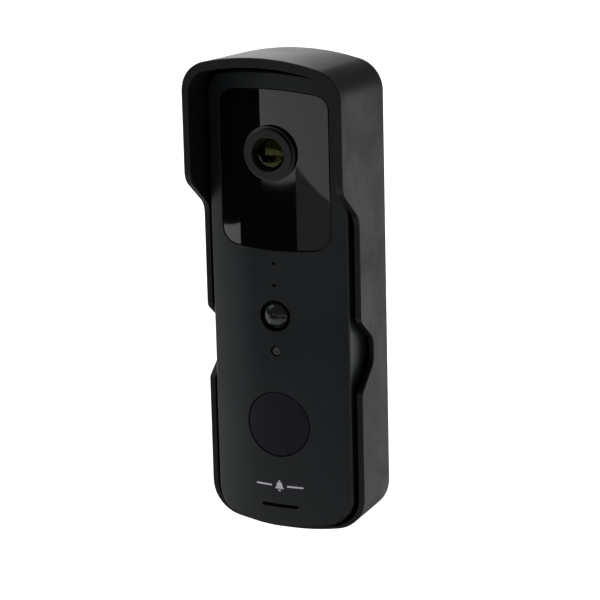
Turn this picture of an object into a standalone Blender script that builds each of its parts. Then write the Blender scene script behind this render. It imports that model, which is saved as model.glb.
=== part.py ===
"""A battery video doorbell seated in its rain cover.

The rain cover is a deep moulded shell with a hood over the camera and a finger notch in each side. The doorbell
slides straight out of it, towards -Y. The origin is the centre of the cover's flat back, which lies on the wall:
+X is to the right for someone facing the doorbell, -Y is towards them and +Z is up.
"""

import math

import bmesh
import bpy
from mathutils import Matrix, Vector

MM = 0.001
GAP = 0.3 * MM

# Driving sizes.
BODY_HALF_W = 22.5 * MM
BODY_TOP = 71.2 * MM
BODY_BOTTOM = -71.0 * MM
BODY_BACK_Y = -2.6 * MM
FACE_EDGE_Y = -22.4 * MM
FACE_APEX_Y = -26.75 * MM
SEAM_Y = -10.0 * MM
SHELL_WALL = 1.8 * MM
BACK_WALL = 2.0 * MM
TOP_ARCH_R = 78.0 * MM
BOTTOM_ARCH_R = 82.0 * MM
BODY_TOP_CORNER = 7.5 * MM
BODY_BOTTOM_CORNER = 8.5 * MM

COVER_HALF_W = 25.3 * MM
COVER_FRONT_HALF_W = 25.85 * MM
COVER_TOP = 73.3 * MM
COVER_FRONT_TOP = 76.4 * MM
COVER_BOTTOM = -73.3 * MM
COVER_INNER_HALF_W = 23.7 * MM
COVER_INNER_TOP = 72.0 * MM
COVER_INNER_FRONT_TOP = 73.4 * MM
COVER_INNER_BOTTOM = -72.1 * MM
COVER_PLATE = 2.0 * MM
COVER_TOP_CORNER = 9.5 * MM
COVER_BOTTOM_CORNER = 11.0 * MM
COVER_INNER_TOP_CORNER = 7.6 * MM
COVER_INNER_BOTTOM_CORNER = 9.6 * MM
HOOD_Y = -32.9 * MM
RIM_Y = -20.9 * MM
NOTCH_Y = -11.6 * MM

CROWN_R = (BODY_HALF_W**2 + (FACE_EDGE_Y - FACE_APEX_Y) ** 2) / (2 * (FACE_EDGE_Y - FACE_APEX_Y))
CROWN_AXIS_Y = FACE_APEX_Y + CROWN_R
CROWN_SEGMENTS = 168

WINDOW_HALF_W = 17.9 * MM
WINDOW_TOP = 66.1 * MM
WINDOW_BOTTOM = 16.7 * MM
WINDOW_DEPTH = 1.5 * MM
WINDOW_SETBACK = 0.2 * MM
WINDOW_GAP = 0.15 * MM
WINDOW_TOP_CORNER = 4.8 * MM
WINDOW_BOTTOM_CORNER = 5.2 * MM
WINDOW_BOTTOM_ARCH_R = 160.0 * MM

LENS_Z = 46.6 * MM
LENS_TIP_Y = -28.9 * MM
LENS_BASE_R = 8.4 * MM
LENS_FRONT_R = 7.7 * MM
LENS_MOUTH_R = 5.2 * MM
LENS_TAIL_R = 6.6 * MM
LENS_TAIL_Y = -23.4 * MM
GLASS_TIP_Y = -28.3 * MM
GLASS_EDGE_Y = -26.9 * MM
GLASS_BACK_Y = -25.9 * MM
BARREL_BACK_Y = -17.6 * MM
BARREL_BORE_R = 3.3 * MM

MIC_Z = 12.7 * MM
LIGHT_SENSOR_Z = 5.9 * MM
PIR_Z = -3.7 * MM
PIR_RECESS_R = 4.9 * MM
PIR_DOME_R = 4.1 * MM
PIR_DOME_RISE = 0.9 * MM
PIR_DOME_WALL = 0.7 * MM
PORT_HOLE_R = 0.5 * MM
INDICATOR_Z = -14.7 * MM
INDICATOR_R = 1.65 * MM
GUIDE_R = 1.35 * MM
BUTTON_Z = -38.0 * MM
BUTTON_R = 10.1 * MM
BUTTON_SKIRT = 1.6 * MM
SLOT_Z = -64.2 * MM
SLOT_HALF_W = 6.0 * MM
SLOT_HALF_H = 0.5 * MM

FRONT_BOARD_Y = -20.8 * MM
BOARD_T = 1.0 * MM
MAIN_BOARD_Y = -9.6 * MM
IR_BOARD_Y = -21.6 * MM

CELL_R = 7.1 * MM
CELL_X = 7.6 * MM
CELL_Y = -11.3 * MM
CELL_BOTTOM = -55.0 * MM
CELL_TOP = -6.0 * MM
TRAY_HALF_W = 16.2 * MM
TRAY_FRONT_Y = -19.5 * MM
TRAY_BACK_Y = -5.2 * MM
TRAY_BOTTOM = CELL_BOTTOM - 4.6 * MM
TRAY_TOP = CELL_TOP + 3.8 * MM
TRAY_WALL = 0.8 * MM

DOOR_HALF_W = 15.2 * MM
DOOR_TOP = CELL_TOP + 2.7 * MM
DOOR_BOTTOM = CELL_BOTTOM - 3.0 * MM
DOOR_TRAVEL = 3.0 * MM
DOOR_T = 1.3 * MM
GRIP_GROOVES = 4
GRIP_PITCH = 2.0 * MM
SEAL_HALF_W = 14.9 * MM
SEAL_W = 0.7 * MM

PORT_Y = -6.6 * MM
PORT_HALF_W = 4.9 * MM
PORT_HALF_D = 2.0 * MM
BUNG_HALF_W = 6.4 * MM
BUNG_HALF_D = 2.5 * MM
BUNG_ROOM = 0.4 * MM
COVER_PORT_HALF_W = 8.0 * MM
COVER_PORT_HALF_D = 4.0 * MM

SCREW_X = 16.0 * MM
SCREW_ZS = (62.5 * MM, -64.0 * MM)
SCREW_SEAT_Y = -4.6 * MM
SCREW_SHANK = 9.3 * MM
BOSS_R = 2.0 * MM
BOSS_BACK_Y = -7.3 * MM
PILOT_R = 1.2 * MM
RESET_Z = 20.0 * MM
RESET_R = 1.6 * MM
STUDS = ((12.0 * MM, 50.0 * MM), (18.3 * MM, -35.0 * MM))
STUD_R = 1.6 * MM
WALL_HOLE_ZS = (40.0 * MM, -40.0 * MM)
WALL_HOLE_R = 2.2 * MM
WALL_HOLE_SINK_R = 4.2 * MM

PALETTE = {
    "shell_black": ((0.026, 0.027, 0.028), 0.55, 0.0),
    "cover_black": ((0.034, 0.034, 0.035), 0.50, 0.0),
    "window_black": ((0.004, 0.004, 0.005), 0.06, 0.0),
    "bezel_black": ((0.045, 0.045, 0.045), 0.45, 0.0),
    "glass": ((0.02, 0.03, 0.02), 0.03, 0.0),
    "smoke_lens": ((0.03, 0.03, 0.035), 0.18, 0.0),
    "rubber_black": ((0.02, 0.02, 0.02), 0.8, 0.0),
    "board_green": ((0.02, 0.09, 0.04), 0.5, 0.0),
    "steel": ((0.55, 0.55, 0.55), 0.3, 1.0),
    "brass": ((0.62, 0.45, 0.2), 0.35, 1.0),
    "cell_blue": ((0.05, 0.12, 0.3), 0.4, 0.0),
    "part_white": ((0.7, 0.7, 0.68), 0.5, 0.0),
    "part_black": ((0.02, 0.02, 0.02), 0.4, 0.0),
}


def clear_scene():
    """Remove every object that the file opened with."""
    for thing in list(bpy.data.objects):
        bpy.data.objects.remove(thing)


def material(name):
    """Return the named Principled material, made once."""
    found = bpy.data.materials.get(name)
    if found:
        return found
    colour, roughness, metallic = PALETTE[name]
    made = bpy.data.materials.new(name)
    made.use_nodes = True
    shader = made.node_tree.nodes["Principled BSDF"]
    shader.inputs["Base Color"].default_value = (*colour, 1.0)
    shader.inputs["Roughness"].default_value = roughness
    shader.inputs["Metallic"].default_value = metallic
    return made


# ---------------------------------------------------------------- outlines, as lists of (x, z) or (y, z)


def arc(centre, radius, start, end, steps):
    """Points of a circular arc from the start angle to the end angle, both included."""
    angles = [start + (end - start) * i / steps for i in range(steps + 1)]
    return [(centre[0] + radius * math.cos(a), centre[1] + radius * math.sin(a)) for a in angles]


def arched_outline(half_w, top, bottom, top_corner, bottom_corner, top_r=TOP_ARCH_R, bottom_r=BOTTOM_ARCH_R):
    """A tall outline with straight sides, bowed top and bottom edges and round corners, anticlockwise in x, z."""

    def quarter(height, arch_r, corner):
        """Right half of the bowed top edge: the corner arc, then the arch up to the centre line."""
        arch_z = height - arch_r
        rise = math.sqrt((arch_r - corner) ** 2 - (half_w - corner) ** 2)
        centre = (half_w - corner, arch_z + rise)
        lean = math.atan2(rise, half_w - corner)
        return arc(centre, corner, 0.0, lean, 6) + arc((0.0, arch_z), arch_r, lean, math.pi / 2, 4)[1:]

    right_top = quarter(top, top_r, top_corner)
    left_top = [(-x, z) for x, z in reversed(right_top[:-1])]
    right_low = [(x, -z) for x, z in quarter(-bottom, bottom_r, bottom_corner)]
    left_low = [(-x, z) for x, z in right_low[:-1]]
    return right_top + left_top + left_low + list(reversed(right_low))


def body_outline(inset=0.0):
    """The doorbell's outline, drawn in by inset."""
    return arched_outline(
        BODY_HALF_W - inset,
        BODY_TOP - inset,
        BODY_BOTTOM + inset,
        BODY_TOP_CORNER - inset,
        BODY_BOTTOM_CORNER - inset,
        TOP_ARCH_R - inset,
        BOTTOM_ARCH_R - inset,
    )


def window_outline(inset=0.0):
    """The glossy window's outline, drawn in by inset."""
    return arched_outline(
        WINDOW_HALF_W - inset,
        WINDOW_TOP - inset,
        WINDOW_BOTTOM + inset,
        WINDOW_TOP_CORNER - inset,
        WINDOW_BOTTOM_CORNER - inset,
        TOP_ARCH_R,
        WINDOW_BOTTOM_ARCH_R,
    )


def cover_outline(depth, inset=0.0):
    """The rain cover's outer outline, depth running from 0 at the wall to 1 at the hood's front."""
    half_w = COVER_HALF_W + depth * (COVER_FRONT_HALF_W - COVER_HALF_W)
    top = COVER_TOP + depth * (COVER_FRONT_TOP - COVER_TOP)
    return arched_outline(half_w - inset, top - inset, COVER_BOTTOM + inset, COVER_TOP_CORNER, COVER_BOTTOM_CORNER)


def rounded_path(corners, steps=5):
    """A path through (a, b, radius) corners, each rounded by an arc of its radius."""
    points = []
    for i, (a, b, radius) in enumerate(corners):
        here = Vector((a, b))
        if radius == 0.0:
            points.append((a, b))
            continue
        into = (Vector(corners[i - 1][:2]) - here).normalized()
        onward = (Vector(corners[i + 1][:2]) - here).normalized()
        half = into.angle(onward) / 2
        centre = here + (into + onward).normalized() * (radius / math.sin(half))
        first = here + into * (radius / math.tan(half)) - centre
        last = here + onward * (radius / math.tan(half)) - centre
        start = math.atan2(first.y, first.x)
        sweep = math.atan2(first.x * last.y - first.y * last.x, first.dot(last))
        points += arc(centre, radius, start, start + sweep, steps)
    return points


# ---------------------------------------------------------------- solids


def add_object(name, bm, finish, smooth=True):
    """Turn the bmesh into a named object whose faces point outwards."""
    bmesh.ops.remove_doubles(bm, verts=bm.verts, dist=1e-7)
    bmesh.ops.recalc_face_normals(bm, faces=bm.faces)
    mesh = bpy.data.meshes.new(name)
    bm.to_mesh(mesh)
    bm.free()
    if smooth:
        mesh.shade_smooth()
        mesh.set_sharp_from_angle(angle=math.radians(35))
    thing = bpy.data.objects.new(name, mesh)
    bpy.context.scene.collection.objects.link(thing)
    mesh.materials.append(material(finish))
    return thing


def loft(sections):
    """A bmesh through rings of equal length, each a list of 3D points, with flat end caps."""
    bm = bmesh.new()
    rings = [[bm.verts.new(p) for p in section] for section in sections]
    loops = []
    for ring in rings:
        loops.append([bm.edges.new((ring[i - 1], ring[i])) for i in range(len(ring))])
    for first, second in zip(loops, loops[1:]):
        bmesh.ops.bridge_loops(bm, edges=first + second)
    bm.faces.new(rings[0])
    bm.faces.new(rings[-1])
    return bm


def prism_y(outline, y_back, y_front):
    """An outline in x, z run along Y."""
    return loft([[(x, y, z) for x, z in outline] for y in (y_back, y_front)])


def prism_x(outline, x_left, x_right):
    """An outline in y, z run along X."""
    return loft([[(x, y, z) for y, z in outline] for x in (x_left, x_right)])


def block(x0, x1, y0, y1, z0, z1):
    """A box between two corners."""
    bm = bmesh.new()
    size = Vector((abs(x1 - x0), abs(y1 - y0), abs(z1 - z0)))
    place = Matrix.Translation(((x0 + x1) / 2, (y0 + y1) / 2, (z0 + z1) / 2))
    bmesh.ops.create_cube(bm, size=1.0, matrix=place @ Matrix.Diagonal((*size, 1.0)))
    return bm


def turned_y(profile, x, z, segments=32):
    """A solid turned about an axis along Y through x, z. The profile lists (radius, y), from axis to axis."""
    bm = bmesh.new()
    points = [bm.verts.new((radius, y, 0.0)) for radius, y in profile]
    edges = [bm.edges.new(pair) for pair in zip(points, points[1:])]
    bmesh.ops.spin(
        bm,
        geom=points + edges,
        cent=(0.0, 0.0, 0.0),
        axis=(0.0, 1.0, 0.0),
        angle=2 * math.pi,
        steps=segments,
        use_merge=True,
        use_duplicate=False,
    )
    bmesh.ops.translate(bm, vec=(x, 0.0, z), verts=bm.verts)
    return bm


def disc_y(radius, y_back, y_front, x, z, segments=32):
    """A plain cylinder along Y."""
    return turned_y([(0.0, y_front), (radius, y_front), (radius, y_back), (0.0, y_back)], x, z, segments)


def crown_cylinder(offset=0.0):
    """The upright cylinder whose front bounds the crowned face, drawn in by offset."""
    bm = bmesh.new()
    bmesh.ops.create_cone(
        bm,
        cap_ends=True,
        segments=CROWN_SEGMENTS,
        radius1=CROWN_R - offset,
        radius2=CROWN_R - offset,
        depth=0.2,
        matrix=Matrix.Translation((0.0, CROWN_AXIS_Y, 0.0)) @ Matrix.Rotation(math.pi / CROWN_SEGMENTS, 4, "Z"),
    )
    return bm


def make_helper(name, bm):
    """A hidden object for Boolean modifiers to use."""
    helper = add_object(name, bm, "part_black", smooth=False)
    helper.hide_render = True
    helper.display_type = "WIRE"
    return helper


def attach(target, helper, operation, name):
    """Put a Boolean modifier that uses the helper on target."""
    modifier = target.modifiers.new(name, "BOOLEAN")
    modifier.operation = operation
    modifier.object = helper
    modifier.solver = "EXACT"


def boolean(target, bm, operation, name):
    """Put a Boolean modifier on target, with a hidden helper made from the bmesh."""
    attach(target, make_helper(f"{target.name}_{name}", bm), operation, name)


def cut(target, bm, name):
    """Take the bmesh's volume away from target."""
    boolean(target, bm, "DIFFERENCE", name)


def keep(target, bm, name):
    """Keep only what target shares with the bmesh."""
    boolean(target, bm, "INTERSECT", name)


def join(target, bm, name):
    """Add the bmesh's volume to target."""
    boolean(target, bm, "UNION", name)


def face_y(x, offset=0.0):
    """Y of the crowned face at x, drawn in by offset."""
    return CROWN_AXIS_Y - math.sqrt((CROWN_R - offset) ** 2 - x**2)


# ---------------------------------------------------------------- rain cover


def make_rain_cover():
    """The outer shell: hood, side walls with finger notches, and the plate that lies on the wall."""
    edge = 1.0 * MM
    lip = 0.4 * MM
    stations = (
        (0.0, edge),
        (edge * (1 - math.cos(math.radians(45))), edge * (1 - math.sin(math.radians(45)))),
        (edge, 0.0),
        (-HOOD_Y - lip, 0.0),
        (-HOOD_Y, lip),
    )
    rings = []
    for run, inset in stations:
        rings.append([(x, -run, z) for x, z in cover_outline(run / -HOOD_Y, inset)])
    cover = add_object("rain_cover", loft(rings), "cover_black")

    past = 1.25
    inner = []
    for y, depth in ((-COVER_PLATE, 0.0), (HOOD_Y * past, past)):
        top = COVER_INNER_TOP + depth * (COVER_INNER_FRONT_TOP - COVER_INNER_TOP)
        corners = (COVER_INNER_TOP_CORNER, COVER_INNER_BOTTOM_CORNER)
        outline = arched_outline(COVER_INNER_HALF_W, top, COVER_INNER_BOTTOM, *corners)
        inner.append([(x, y, z) for x, z in outline])
    cut(cover, loft(inner), "cavity")

    front = HOOD_Y * past
    low = -90.0 * MM
    profile = rounded_path(
        [
            (front, low, 0.0),
            (RIM_Y, low, 0.0),
            (RIM_Y, -27.3 * MM, 1.5 * MM),
            (NOTCH_Y, -19.8 * MM, 5.0 * MM),
            (NOTCH_Y, -12.2 * MM, 4.5 * MM),
            (RIM_Y, -4.6 * MM, 2.5 * MM),
            (RIM_Y, 27.5 * MM, 6.0 * MM),
            (HOOD_Y, 37.6 * MM, 6.0 * MM),
            (HOOD_Y - 0.5 * MM, 48.0 * MM, 0.0),
            (front, 48.0 * MM, 0.0),
        ]
    )
    cut(cover, prism_x(profile, -40.0 * MM, 40.0 * MM), "side_line")

    hole = [
        (0.0, -COVER_PLATE - 1.0 * MM),
        (WALL_HOLE_SINK_R, -COVER_PLATE - 1.0 * MM),
        (WALL_HOLE_R, -1.0 * MM),
        (WALL_HOLE_R, 1.0 * MM),
        (0.0, 1.0 * MM),
    ]
    for i, z in enumerate(WALL_HOLE_ZS):
        cut(cover, turned_y(hole, 0.0, z, 24), f"wall_hole_{i + 1}")
    port = block(
        -COVER_PORT_HALF_W,
        COVER_PORT_HALF_W,
        PORT_Y - COVER_PORT_HALF_D,
        PORT_Y + COVER_PORT_HALF_D,
        COVER_BOTTOM - 2.7 * MM,
        COVER_INNER_BOTTOM + 2.1 * MM,
    )
    cut(cover, port, "charging_opening")
    for x, z in STUDS:
        for side in (-1, 1):
            stud = disc_y(STUD_R, -1.0 * MM, BODY_BACK_Y - 1.1 * MM, side * x, z, 16)
            join(cover, stud, f"stud_{round(x / MM)}_{side + 1}")
    return cover


# ---------------------------------------------------------------- doorbell shells


def make_front_shell():
    """The deep front tub with the crowned face, and every opening in it."""
    shell = add_object("front_shell", prism_y(body_outline(), SEAM_Y - GAP, FACE_APEX_Y - 2 * MM), "shell_black")
    keep(shell, crown_cylinder(), "crown")

    hollow = make_helper(
        "front_shell_hollow", prism_y(body_outline(SHELL_WALL), SEAM_Y + 2 * MM, FACE_APEX_Y - 2 * MM)
    )
    keep(hollow, crown_cylinder(SHELL_WALL), "inner_crown")
    attach(shell, hollow, "DIFFERENCE", "hollow")

    for i, z in enumerate(SCREW_ZS):
        for side in (-1, 1):
            boss = disc_y(BOSS_R, BOSS_BACK_Y, face_y(SCREW_X) + 1.0 * MM, side * SCREW_X, z, 16)
            join(shell, boss, f"boss_{i}_{side + 1}")
            pilot = disc_y(PILOT_R, BOSS_BACK_Y + 1 * MM, BOSS_BACK_Y - 8.0 * MM, side * SCREW_X, z, 12)
            cut(shell, pilot, f"pilot_{i}_{side + 1}")

    recess = make_helper(
        "front_shell_recess", prism_y(window_outline(), FACE_APEX_Y + 8 * MM, FACE_APEX_Y - 4 * MM)
    )
    cut(recess, crown_cylinder(WINDOW_DEPTH), "floor")
    attach(shell, recess, "DIFFERENCE", "window_recess")

    deep = -18.0 * MM
    front = FACE_APEX_Y - 3 * MM
    opening = arched_outline(15.4 * MM, 63.0 * MM, 19.5 * MM, 3.0 * MM, 3.0 * MM)
    cut(shell, prism_y(opening, deep, front), "window_opening")
    for name, radius, z, sides in (
        ("mic_hole", PORT_HOLE_R, MIC_Z, 12),
        ("light_hole", PORT_HOLE_R, LIGHT_SENSOR_Z, 12),
        ("pir_hole", PIR_RECESS_R, PIR_Z, 32),
        ("indicator_hole", INDICATOR_R, INDICATOR_Z, 16),
        ("button_hole", BUTTON_R + GAP, BUTTON_Z, 48),
    ):
        cut(shell, disc_y(radius, deep, front, 0.0, z, sides), name)
    slot = block(-SLOT_HALF_W, SLOT_HALF_W, deep, front, SLOT_Z - SLOT_HALF_H, SLOT_Z + SLOT_HALF_H)
    cut(shell, slot, "speaker_slot")
    return shell


def make_back_shell():
    """The shallow rear pan with the battery opening, screw seats, stud pockets and charging port opening."""
    pan = add_object("back_shell", prism_y(body_outline(), BODY_BACK_Y, SEAM_Y), "shell_black")
    inner_y = BODY_BACK_Y - BACK_WALL
    cut(pan, prism_y(body_outline(SHELL_WALL), inner_y, SEAM_Y - 2 * MM), "hollow")
    for i, z in enumerate(SCREW_ZS):
        for side in (-1, 1):
            x = side * SCREW_X
            pillar = disc_y(2.9 * MM, BODY_BACK_Y - 1 * MM, BOSS_BACK_Y + GAP, x, z, 16)
            join(pan, pillar, f"pillar_{i}_{side + 1}")
            cut(pan, disc_y(PILOT_R, 0.0, SEAM_Y - 2 * MM, x, z, 12), f"clearance_{i}_{side + 1}")
            cut(pan, disc_y(2.2 * MM, 0.0, SCREW_SEAT_Y, x, z, 16), f"seat_{i}_{side + 1}")
    room = DOOR_BOTTOM - DOOR_TRAVEL - GAP
    wide = DOOR_HALF_W + GAP
    cut(pan, block(-wide, wide, 0.0, -8.0 * MM, room, DOOR_TOP + GAP), "battery_opening")
    for x, z in STUDS:
        for side in (-1, 1):
            pocket = disc_y(STUD_R + 0.4 * MM, 0.0, BODY_BACK_Y - 1.4 * MM, side * x, z, 16)
            cut(pan, pocket, f"stud_pocket_{round(x / MM)}_{side + 1}")
    cut(pan, disc_y(RESET_R + GAP, 0.0, -6.0 * MM, 0.0, RESET_Z, 20), "reset_hole")
    low = BODY_BOTTOM - 2.0 * MM
    seat = (BUNG_HALF_W + BUNG_ROOM, BUNG_HALF_D + BUNG_ROOM, BODY_BOTTOM + 1.1 * MM)
    mouth = (PORT_HALF_W, PORT_HALF_D, BODY_BOTTOM + 3.0 * MM)
    for name, (half_w, half_d, high) in (("bung_seat", seat), ("port_opening", mouth)):
        cut(pan, block(-half_w, half_w, PORT_Y - half_d, PORT_Y + half_d, low, high), name)
    return pan


def make_shell_gasket():
    """The seal ring that bridges the seam from inside."""
    inset = SHELL_WALL + GAP
    band = prism_y(body_outline(inset), SEAM_Y + 1.0 * MM, SEAM_Y - 1.2 * MM)
    ring = add_object("shell_gasket", band, "rubber_black")
    cut(ring, prism_y(body_outline(inset + 0.7 * MM), SEAM_Y + 3 * MM, SEAM_Y - 3 * MM), "middle")
    return ring


def make_window_panel():
    """The curved glossy panel over the camera, with the hole that the lens bezel sits in."""
    panel = add_object(
        "window_panel",
        prism_y(window_outline(WINDOW_GAP), FACE_APEX_Y + 8 * MM, FACE_APEX_Y - 4 * MM),
        "window_black",
    )
    keep(panel, crown_cylinder(WINDOW_SETBACK), "front")
    cut(panel, crown_cylinder(WINDOW_DEPTH - WINDOW_GAP), "back")
    cut(panel, disc_y(LENS_TAIL_R + GAP, -18 * MM, -32 * MM, 0.0, LENS_Z, 40), "lens_hole")
    return panel


# ---------------------------------------------------------------- camera


def make_camera():
    """Bezel, barrel, glass, sensor housing and board, all on the lens axis."""
    seat = FACE_APEX_Y + WINDOW_SETBACK - GAP
    bezel = [
        (LENS_MOUTH_R, LENS_TIP_Y + 0.5 * MM),
        (LENS_MOUTH_R + 0.5 * MM, LENS_TIP_Y),
        (LENS_FRONT_R - 0.3 * MM, LENS_TIP_Y),
        (LENS_FRONT_R, LENS_TIP_Y + 0.3 * MM),
        (LENS_FRONT_R + 0.15 * MM, LENS_TIP_Y + 1.2 * MM),
        (LENS_BASE_R - 0.2 * MM, LENS_TIP_Y + 1.5 * MM),
        (LENS_BASE_R, seat),
        (LENS_TAIL_R, seat),
        (LENS_TAIL_R, LENS_TAIL_Y),
        (LENS_MOUTH_R, LENS_TAIL_Y),
        (LENS_MOUTH_R, LENS_TIP_Y + 0.5 * MM),
    ]
    add_object("lens_bezel", turned_y(bezel, 0.0, LENS_Z, 40), "bezel_black")

    fitted_r = LENS_MOUTH_R - GAP
    mouth = GLASS_BACK_Y + GAP
    throat = mouth + 1.3 * MM
    barrel = [
        (BARREL_BORE_R, throat),
        (fitted_r, mouth),
        (fitted_r, BARREL_BACK_Y),
        (BARREL_BORE_R, BARREL_BACK_Y),
        (BARREL_BORE_R, throat),
    ]
    add_object("lens_barrel", turned_y(barrel, 0.0, LENS_Z, 32), "part_black")

    rise = GLASS_TIP_Y - GLASS_EDGE_Y
    turns = [math.radians(d) for d in (0, 18, 36, 54, 72, 90)]
    glass = [(fitted_r * math.sin(a), GLASS_EDGE_Y + rise * math.cos(a)) for a in turns]
    glass += [(fitted_r, GLASS_BACK_Y), (0.0, GLASS_BACK_Y)]
    add_object("lens_glass", turned_y(glass, 0.0, LENS_Z, 32), "glass")

    rear_r = BARREL_BORE_R - GAP
    add_object("rear_lens_element", disc_y(rear_r, -19.4 * MM, -20.9 * MM, 0.0, LENS_Z, 24), "glass")

    housing = add_object(
        "sensor_housing",
        block(-6.4 * MM, 6.4 * MM, -17.3 * MM, -14.0 * MM, LENS_Z - 6.4 * MM, LENS_Z + 6.4 * MM),
        "part_black",
    )
    pocket = block(-4.2 * MM, 4.2 * MM, -16.2 * MM, -13.0 * MM, LENS_Z - 4.2 * MM, LENS_Z + 4.2 * MM)
    cut(housing, pocket, "pocket")
    cut(housing, disc_y(2.6 * MM, -13.0 * MM, -18.0 * MM, 0.0, LENS_Z, 20), "light_path")
    board = block(-7.5 * MM, 7.5 * MM, -13.7 * MM, -12.9 * MM, LENS_Z - 7.5 * MM, LENS_Z + 7.5 * MM)
    add_object("sensor_board", board, "board_green", smooth=False)
    chip = block(-3.2 * MM, 3.2 * MM, -14.9 * MM, -14.0 * MM, LENS_Z - 3.2 * MM, LENS_Z + 3.2 * MM)
    add_object("image_sensor", chip, "part_black", smooth=False)
    flex = block(-3.0 * MM, 3.0 * MM, -12.6 * MM, -12.4 * MM, LENS_Z - 20.0 * MM, LENS_Z + 6.0 * MM)
    add_object("camera_flex_cable", flex, "brass", smooth=False)


def make_ir_lights():
    """The board around the lens and the four infra-red lights on it."""
    board = add_object(
        "ir_board",
        block(-14.6 * MM, 14.6 * MM, IR_BOARD_Y, IR_BOARD_Y + BOARD_T, 21.0 * MM, 61.0 * MM),
        "board_green",
        smooth=False,
    )
    cut(board, disc_y(LENS_TAIL_R + GAP, -15 * MM, -30 * MM, 0.0, LENS_Z, 28), "lens_hole")
    names = ("lower_left", "lower_right", "upper_left", "upper_right")
    places = [(x, z) for z in (32.0 * MM, 57.5 * MM) for x in (-11.0 * MM, 11.0 * MM)]
    foot = IR_BOARD_Y - GAP
    for name, (x, z) in zip(names, places):
        bulb = [(0.0, foot - 2.2 * MM), (1.0 * MM, foot - 1.9 * MM), (1.5 * MM, foot - 1.1 * MM)]
        bulb += [(1.5 * MM, foot), (0.0, foot)]
        add_object(f"ir_light_{name}", turned_y(bulb, x, z, 12), "smoke_lens")


# ---------------------------------------------------------------- front board and what it carries


def make_front_board():
    """The board behind the lower face, with the switch, motion sensor, microphone and lights."""
    board = block(-14.0 * MM, 14.0 * MM, FRONT_BOARD_Y, FRONT_BOARD_Y + BOARD_T, -54.0 * MM, 16.0 * MM)
    add_object("front_board", board, "board_green", smooth=False)
    foot = FRONT_BOARD_Y - GAP
    inner = face_y(0.0, SHELL_WALL) + GAP

    dome_back = FACE_APEX_Y + 1.6 * MM
    rise = dome_back - FACE_APEX_Y + PIR_DOME_RISE
    turns = [math.radians(d) for d in (0, 18, 36, 54, 72, 90)]
    dome = [(PIR_DOME_R * math.sin(a), dome_back - rise * math.cos(a)) for a in turns]
    dome += [(PIR_DOME_R, inner), (PIR_DOME_R - PIR_DOME_WALL, inner), (PIR_DOME_R - PIR_DOME_WALL, dome_back)]
    dome += [(PIR_DOME_R * 0.55, FACE_APEX_Y + 0.45 * MM), (0.0, FACE_APEX_Y + 0.2 * MM)]
    add_object("motion_sensor_lens", turned_y(dome, 0.0, PIR_Z, 28), "smoke_lens")
    can = [(0.0, foot - 2.6 * MM), (2.9 * MM, foot - 2.6 * MM), (2.9 * MM, foot - 0.5 * MM)]
    can += [(3.4 * MM, foot - 0.5 * MM), (3.4 * MM, foot), (0.0, foot)]
    add_object("motion_sensor", turned_y(can, 0.0, PIR_Z, 20), "steel")

    guide = disc_y(GUIDE_R, -22.6 * MM, FACE_APEX_Y + 0.35 * MM, 0.0, INDICATOR_Z, 16)
    add_object("indicator_light_guide", guide, "part_white")
    led = block(-0.8 * MM, 0.8 * MM, foot - 0.8 * MM, foot, INDICATOR_Z - 0.8 * MM, INDICATOR_Z + 0.8 * MM)
    add_object("indicator_led", led, "part_white", smooth=False)

    for name, z in (("microphone", MIC_Z), ("light_sensor", LIGHT_SENSOR_Z)):
        capsule = disc_y(1.9 * MM, foot, foot - 1.2 * MM, 0.0, z, 16)
        add_object(name, capsule, "steel" if name == "microphone" else "part_black")
    boot = [(0.6 * MM, inner + 0.1 * MM), (2.2 * MM, inner + 0.1 * MM), (2.2 * MM, foot - 1.5 * MM)]
    boot += [(0.6 * MM, foot - 1.5 * MM), (0.6 * MM, inner + 0.1 * MM)]
    add_object("microphone_boot", turned_y(boot, 0.0, MIC_Z, 16), "rubber_black")


def make_call_button():
    """The round call button with the nub under it, and its switch."""
    back = FACE_APEX_Y + 3.15 * MM
    cap = add_object("call_button", disc_y(BUTTON_R, back, FACE_APEX_Y - 2 * MM, 0.0, BUTTON_Z, 44), "shell_black")
    keep(cap, crown_cylinder(0.1 * MM), "crown")
    cut(cap, disc_y(BUTTON_R - BUTTON_SKIRT, back + 1 * MM, back - 0.9 * MM, 0.0, BUTTON_Z, 32), "underside")
    join(cap, disc_y(1.6 * MM, back, back - 1.5 * MM, 0.0, BUTTON_Z, 16), "nub")
    foot = FRONT_BOARD_Y - GAP
    switch = add_object(
        "call_switch",
        block(-3.0 * MM, 3.0 * MM, foot, foot - 1.2 * MM, BUTTON_Z - 3.0 * MM, BUTTON_Z + 3.0 * MM),
        "part_black",
        smooth=False,
    )
    join(switch, disc_y(1.5 * MM, foot - 0.5 * MM, foot - 1.7 * MM, 0.0, BUTTON_Z, 16), "plunger")


# ---------------------------------------------------------------- speaker


def make_speaker():
    """The speaker behind the slot, and the gasket that seals it to the shell."""
    low = SLOT_Z - 3.4 * MM
    high = SLOT_Z + 4.2 * MM
    front = face_y(0.0, SHELL_WALL) + 2.2 * MM
    case = add_object("speaker", block(-9.5 * MM, 9.5 * MM, front, front + 4.0 * MM, low, high), "part_black")
    middle = (low + high) / 2
    cone = block(-7.6 * MM, 7.6 * MM, front - 1 * MM, front + 0.9 * MM, middle - 2.9 * MM, middle + 2.9 * MM)
    cut(case, cone, "cone")
    gasket_front = face_y(9.2 * MM, SHELL_WALL) + GAP
    gasket = add_object(
        "speaker_gasket",
        block(-9.2 * MM, 9.2 * MM, gasket_front, front - GAP, low + 0.2 * MM, high - 0.2 * MM),
        "rubber_black",
        smooth=False,
    )
    cut(gasket, block(-7.8 * MM, 7.8 * MM, -30 * MM, -10 * MM, middle - 2.8 * MM, middle + 2.8 * MM), "window")


# ---------------------------------------------------------------- rear board


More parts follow.
